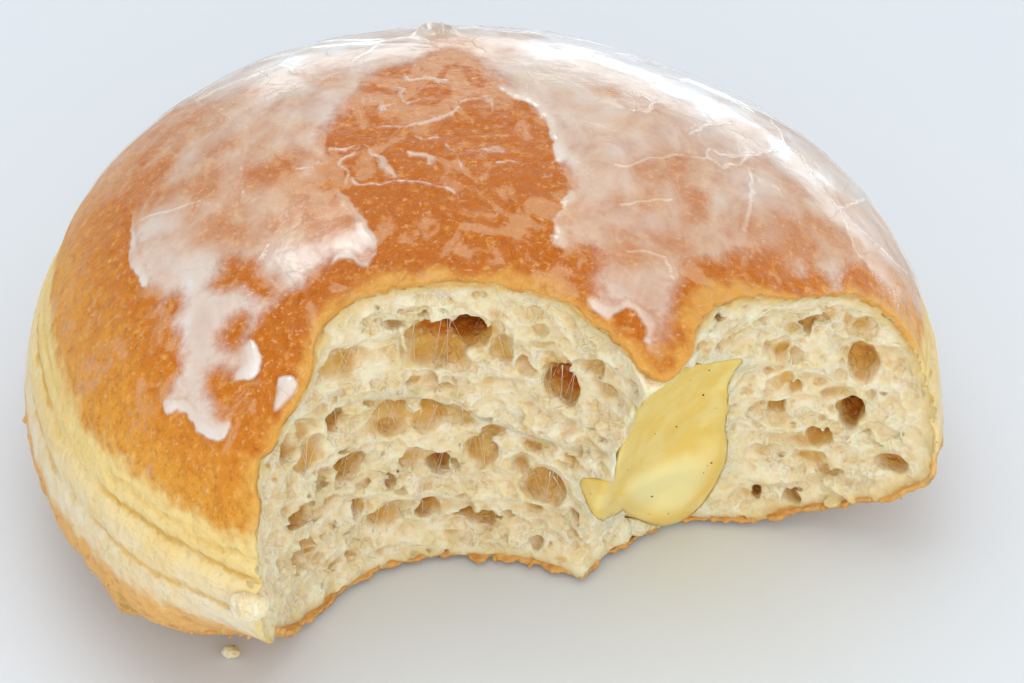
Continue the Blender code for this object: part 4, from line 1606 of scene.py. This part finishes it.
def crustFinish():
    finish = Finish("friedDough", crustColours)
    level = finish.level()
    edge, band, film = (finish.attribute(name) for name in ("edge", "crease", "film"))
    broad, patchy, speckle = finish.noise(0.10, 3), finish.noise(0.42, 4), finish.noise(0.85, 5, 0.65)
    broadOff, patchyOff, speckleOff = (noise - 0.5 for noise in (broad, patchy, speckle))    # round zero
    # the fried dome, darker towards the top, with painted glints and painted pit shade, and a thin clouded
    # film that is partly a painted sheen
    fry = finish.ease(level + patchyOff * 7 + broadOff * 10, 24.5, 36.0)
    skin = finish.blend(fry, "golden", "fried")
    skin = finish.over(skin, "deep", level + patchyOff * 8, 30.0, 42.0)
    skin = finish.over(skin, "dark", speckle, 0.50, 0.74, 0.40)
    skin = finish.over(skin, "light", speckle, 0.47, 0.28, 0.50)
    # painted highlights on the grains' tops and painted shade in the pits between them; the same noise raises
    # the grains as bumps
    bumpsAndPaintedGlints = finish.noise(1.6, 3, 0.6)
    skin = finish.over(skin, "glint", bumpsAndPaintedGlints, 0.585, 0.68, 0.34)
    skin = finish.over(skin, "dark", bumpsAndPaintedGlints, 0.44, 0.34, 0.30)
    # the film, partly a thin glaze film and partly a painted pinkish sheen
    swirl = finish.noise(0.20, 4, 0.56, finish.stretched((1.0, 0.75, 0.75)), 1.2)
    skin = finish.over(skin, "film", film + (swirl - 0.5) * 3.0 + speckleOff * 0.5, 0.46, 0.74, 0.60)
    # the pale band with its creases
    pale = finish.blend(finish.ease(level + patchyOff * 3, 24.0, 15.0), "band", "bandLow")
    pale = finish.over(pale, "crease", broad + patchyOff * 0.6, 0.50, 0.62, 0.35)
    fold = 0
    for number, (at, _, _, strength) in enumerate(crust["creases"]):
        along = finish.noise(0.07, 2, place=finish.stretched((1, 1, 0.2))) + 0.03 * number
        away = abs(band + patchyOff * 1.6 + speckleOff * 0.5 - at)
        fold = fold + finish.ease(away, 0.55, 0.0) * finish.ease(along, 0.36, 0.52) * strength
    pale = finish.blend(fold * 0.9, pale, "fold")
    result = finish.over(pale, skin, level + patchyOff * 4 + speckleOff * 1.6, 24.0, 26.6)
    # the browned rim and base
    rim = finish.blend(finish.ease(level + patchyOff * 3, 12.0, 5.0), "rim", "base")
    rim = finish.over(rim, "scorch", speckle, 0.50, 0.70, 0.6)
    rim = finish.over(rim, "lip", speckle, 0.46, 0.32, 0.5)
    result = finish.over(result, rim, level + patchyOff * 3.6 + speckleOff * 3, 15.4, 13.4)
    # the crust's torn edge
    torn = edge + speckleOff * 1.4 + patchyOff * 3.0 + broadOff * 5.0
    dome = finish.ease(level, 24.5, 28.0)
    result = finish.over(result, "lip", torn, 2.4, 0.2, dome * 0.62)
    side = finish.ease(level, 12.0, 16.0) * (1.0 - dome)
    result = finish.over(result, "band", edge + speckleOff, 1.2, 0.1, side * 0.8)
    grains = finish.node("ShaderNodeTexVoronoi", {"feature": "SMOOTH_F1"},
                         {"Vector": finish.place, "Scale": 0.75, "Smoothness": 0.6}, "Distance")
    pores = finish.bump(grains + bumpsAndPaintedGlints * 0.9, 0.42, 0.9)
    rough = 0.60 - dome * 0.28
    looks = {"Specular IOR Level": 0.20, "Normal": finish.bump(fold, -0.25, 0.8, pores)}
    return finish.surface(result, rough, looks, (0.12, (1.0, 0.5, 0.2), 0.0012))


crumbColours = colours(pale=(252, 238, 208), cream=(242, 222, 178), tan=(220, 180, 106), amber=(222, 160, 42),
                       deep=(190, 100, 0), skin=(228, 194, 124), underCrust=(212, 154, 70))


def crumbFinish():
    finish = Finish("crumb", crumbColours)
    depth, skin, toast = (finish.attribute(name) for name in ("depth", "skin", "toast"))
    patchy, fine, speckle = finish.noise(0.45, 4), finish.noise(2.6, 4, 0.65), finish.noise(1.3, 4, 0.65)
    patchyOff = patchy - 0.5
    result = finish.blend(finish.ease(patchy, 0.38, 0.62), "pale", "cream")
    # painted shade, darker down in the holes; and darker, golden crumb towards the crust
    holeShade = depth + patchyOff * 1.2
    result = finish.over(result, "tan", holeShade, 0.3, 1.9, 0.80)
    result = finish.over(result, "amber", holeShade, 0.9, 2.3, 0.65)
    result = finish.over(result, "deep", holeShade, 2.0, 3.4)
    result = finish.over(result, "skin", skin + (fine - 0.5), 1.9, 0.7, 0.70)
    result = finish.over(result, "underCrust", skin + patchyOff * 1.6, 0.8, 0.2, 0.70)
    result = finish.over(result, "underCrust", toast + (speckle - 0.5) * 1.2, 0.15, 0.75, 0.75)
    # painted shade inside the small cells, with pale walls between them
    webbed = finish.ease(finish.noise(0.30, 3), 0.44, 0.56) * finish.ease(skin, 0.8, 2.2)
    room = finish.ease(finish.plates(0.9, 0.85), 0.02, 0.20) * webbed
    result = finish.blend(room * 0.20, result, "tan")
    result = finish.over(result, "tan", speckle, 0.52, 0.70, 0.35)
    result = finish.over(result, "pale", speckle, 0.46, 0.30, 0.35)
    fibres = finish.noise(1.6, 4, 0.65, finish.stretched((1.4, 1.4, 0.7)), 0.8)
    normal = finish.bump(fibres, 0.24, 0.7, finish.bump(finish.noise(0.8, 3, 0.6) - room * 0.8, 0.30, 0.7))
    looks = {"Specular IOR Level": 0.2, "Normal": normal}
    return finish.surface(result, 0.75, looks, (0.5, (1.0, 0.62, 0.30), 0.0018))


custardColours = colours(upper=(243, 217, 132), mottle=(240, 204, 98), lower=(253, 234, 162))


def custardFinish():
    finish = Finish("custard", custardColours)
    swell, cloud = finish.attribute("swell"), finish.noise(0.30, 2)
    result = finish.blend(finish.ease(cloud, 0.35, 0.65), "upper", "mottle")
    # painted light: the bulge is lighter where it stands out furthest
    result = finish.over(result, "lower", swell + (cloud - 0.5) * 1.5, 2.1, 3.9)
    normal = finish.bump(finish.noise(0.6, 2), 0.10, 0.4)
    return finish.surface(result, 0.30, {"Normal": normal}, (0.30, (1.0, 0.7, 0.25), 0.0014))


glazeColours = colours(thin=(246, 224, 190), thick=(243, 234, 222), sheen=(238, 240, 243))


def glazeFinish():
    finish = Finish("sugarGlaze", glazeColours)
    names = ("milk", "inside", "crack", "thread", "rim")
    milk, inside, crack, thread, rim = (finish.attribute(name) for name in names)
    cloud = finish.noise(0.24, 4, 0.55, finish.stretched((1.0, 0.62, 0.62)), 0.6)
    fine = finish.noise(1.6, 4, 0.6)
    cloudOff, fineOff = cloud - 0.5, fine - 0.5
    # painted sheen: white where the milkiness runs past 1, along the top rim
    sheen = finish.ease(milk + cloudOff * 0.5, 0.95, 1.20)
    # how much it covers: by its milkiness and the painted sheen, more on rims and cracks, soft or crisp at
    # its edge
    alpha = finish.ease(milk + cloudOff * 1.1 + fineOff * 0.16, 0.05, 1.05) * 0.64 + 0.08 + sheen * 0.2
    alpha = alpha + finish.ease(rim, 0.2, 0.9) * 0.16
    alpha = alpha + finish.ease(crack, 0.30, 0.06) * 0.24
    soft = finish.ease(inside + fineOff * 1.2 + cloudOff * 1.6, -0.1, 2.1)
    crisp = finish.ease(inside, -0.05, 0.4) * finish.ease(rim, 0.15, 0.5)
    alpha = alpha * (0.10 + soft * 0.90 * (1.0 - crisp) + crisp * 0.90)
    threads = finish.ease(thread + fineOff * 2.0 + cloudOff * 2.4, 0.0, 1.1) * 0.42
    alpha = alpha + threads * finish.ease(inside, 0.3, 0.0)
    line = finish.ease(finish.plates(0.5, 0.16), 0.018, 0.004) * finish.ease(cloud, 0.50, 0.60)
    normal = finish.bump(line, 0.06, 0.8, finish.bump(finish.noise(0.5, 3, 0.55), 0.14, 0.7))
    tint = finish.blend(finish.ease(milk, 0.3, 0.9), "thin", "thick")
    looks = {"Specular IOR Level": 0.6, "Alpha": alpha, "Normal": normal}
    return finish.surface(finish.blend(sheen, tint, "sheen"), 0.17, looks)


def speckFinish():
    finish = Finish("vanilla")
    pod = finish.blend(finish.noise(3.0), colour(60, 44, 22), colour(96, 70, 36))
    return finish.surface(pod, 0.6)


def dress(piece, material, replaced=None):
    piece.data.materials.clear()
    piece.data.materials.append(material)
    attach(piece, "root")
    if replaced:
        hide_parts(replaced)


crustMaterial = crustFinish()
crumbMaterial = crumbFinish()
dress(makeFlakes(crustMaterial), crustMaterial)
dress(makeDropped(), crumbMaterial)
dress(makeCornerLump(), crumbMaterial)
dress(makeStrands(crumbMaterial), crumbMaterial)
dress(makeSpecks(), speckFinish())
dress(crustPiece, crustMaterial, "bun")
for piece in crumbPieces:
    dress(piece, crumbMaterial, "bun")
dress(custardPiece, custardFinish(), "custard")
dress(glazePiece, glazeFinish())
glazePiece.visible_shadow = False


# The stage: a pale table that runs on as the background
stage = {"reach": 1.6, "table": colour(226, 231, 237)}


def makeStage():
    mesh = bpy.data.meshes.new("table")
    reach = stage["reach"]
    corners = [(-reach, -reach, 0), (reach, -reach, 0), (reach, reach, 0), (-reach, reach, 0)]
    mesh.from_pydata(corners, [], [(0, 1, 2, 3)])
    table = bpy.data.objects.new("table", mesh)
    bpy.context.scene.collection.objects.link(table)
    finish = Finish("paleTable")
    table.data.materials.append(finish.surface(stage["table"], 0.6))


makeStage()


# Soft light: a bright tent all round, panels above and in front, and three that only the sheen shows
# each panel: name, place, aim and size in millimetres, watts, tint, whether matt surfaces take its light
lights = (("panelBehind", (160, 420, 58), (0, 0, 20), (760, 110), 0.62, (1.0, 1.0, 1.0), False),
          ("panelAbove", (-40, 60, 480), (0, 0, 20), (420, 420), 0.60, (1.0, 1.0, 1.0), True),
          ("panelFront", (60, -420, 210), (0, 0, 20), (460, 300), 0.72, (1.0, 0.99, 0.96), True),
          ("panelRight", (460, 150, 80), (0, 0, 20), (320, 130), 0.40, (1.0, 1.0, 1.0), False),
          ("panelSpark", (-130, 270, 420), (0, 0, 30), (170, 120), 0.55, (1.0, 1.0, 1.0), False))
tent = {"tint": (0.94, 0.975, 1.0, 1.0), "strength": 0.75}


def makeLights():
    for name, place, aim, size, watts, tint, soft in lights:
        light = bpy.data.lights.new(name, "AREA")
        light.shape = "RECTANGLE"
        light.size, light.size_y = size[0] * mm, size[1] * mm
        light.energy = watts
        light.color = tint
        lamp = bpy.data.objects.new(name, light)
        way = np.array(aim, float) - np.array(place, float)
        tilt = math.acos(-way[2] / np.linalg.norm(way))
        lamp.location = [value * mm for value in place]
        lamp.visible_diffuse = soft
        lamp.rotation_euler = (tilt, 0, math.atan2(way[1], way[0]) - math.pi / 2)
        bpy.context.scene.collection.objects.link(lamp)
    world = bpy.data.worlds.new("tent")
    world.use_nodes = True
    background = world.node_tree.nodes["Background"]
    background.inputs["Color"].default_value = tent["tint"]
    background.inputs["Strength"].default_value = tent["strength"]
    bpy.context.scene.world = world


makeLights()


def makeCamera():
    lens = bpy.data.cameras.new("camera")
    lens.lens = view["lens"]
    lens.sensor_width = view["sensor"]
    lens.shift_x = -view["offset"][0] / view["picture"][0]
    lens.shift_y = view["offset"][1] / view["picture"][0]
    lens.clip_start = 0.01
    camera = bpy.data.objects.new("camera", lens)
    camera.location = viewFrom * mm
    camera.rotation_mode = "XYZ"
    tilt = math.radians(90 - view["elevation"])
    turn = math.radians(view["roll"])
    camera.matrix_world = (Matrix.Translation(camera.location) @ Matrix.Rotation(tilt, 4, "X")
                           @ Matrix.Rotation(turn, 4, "Z"))
    bpy.context.scene.collection.objects.link(camera)
    bpy.context.scene.camera = camera


makeCamera()
bpy.context.scene.view_settings.view_transform = "Standard"
cycles = bpy.context.scene.cycles
cycles.use_denoising = True
cycles.adaptive_threshold = 0.08
cycles.max_bounces, cycles.diffuse_bounces, cycles.glossy_bounces = 6, 3, 3
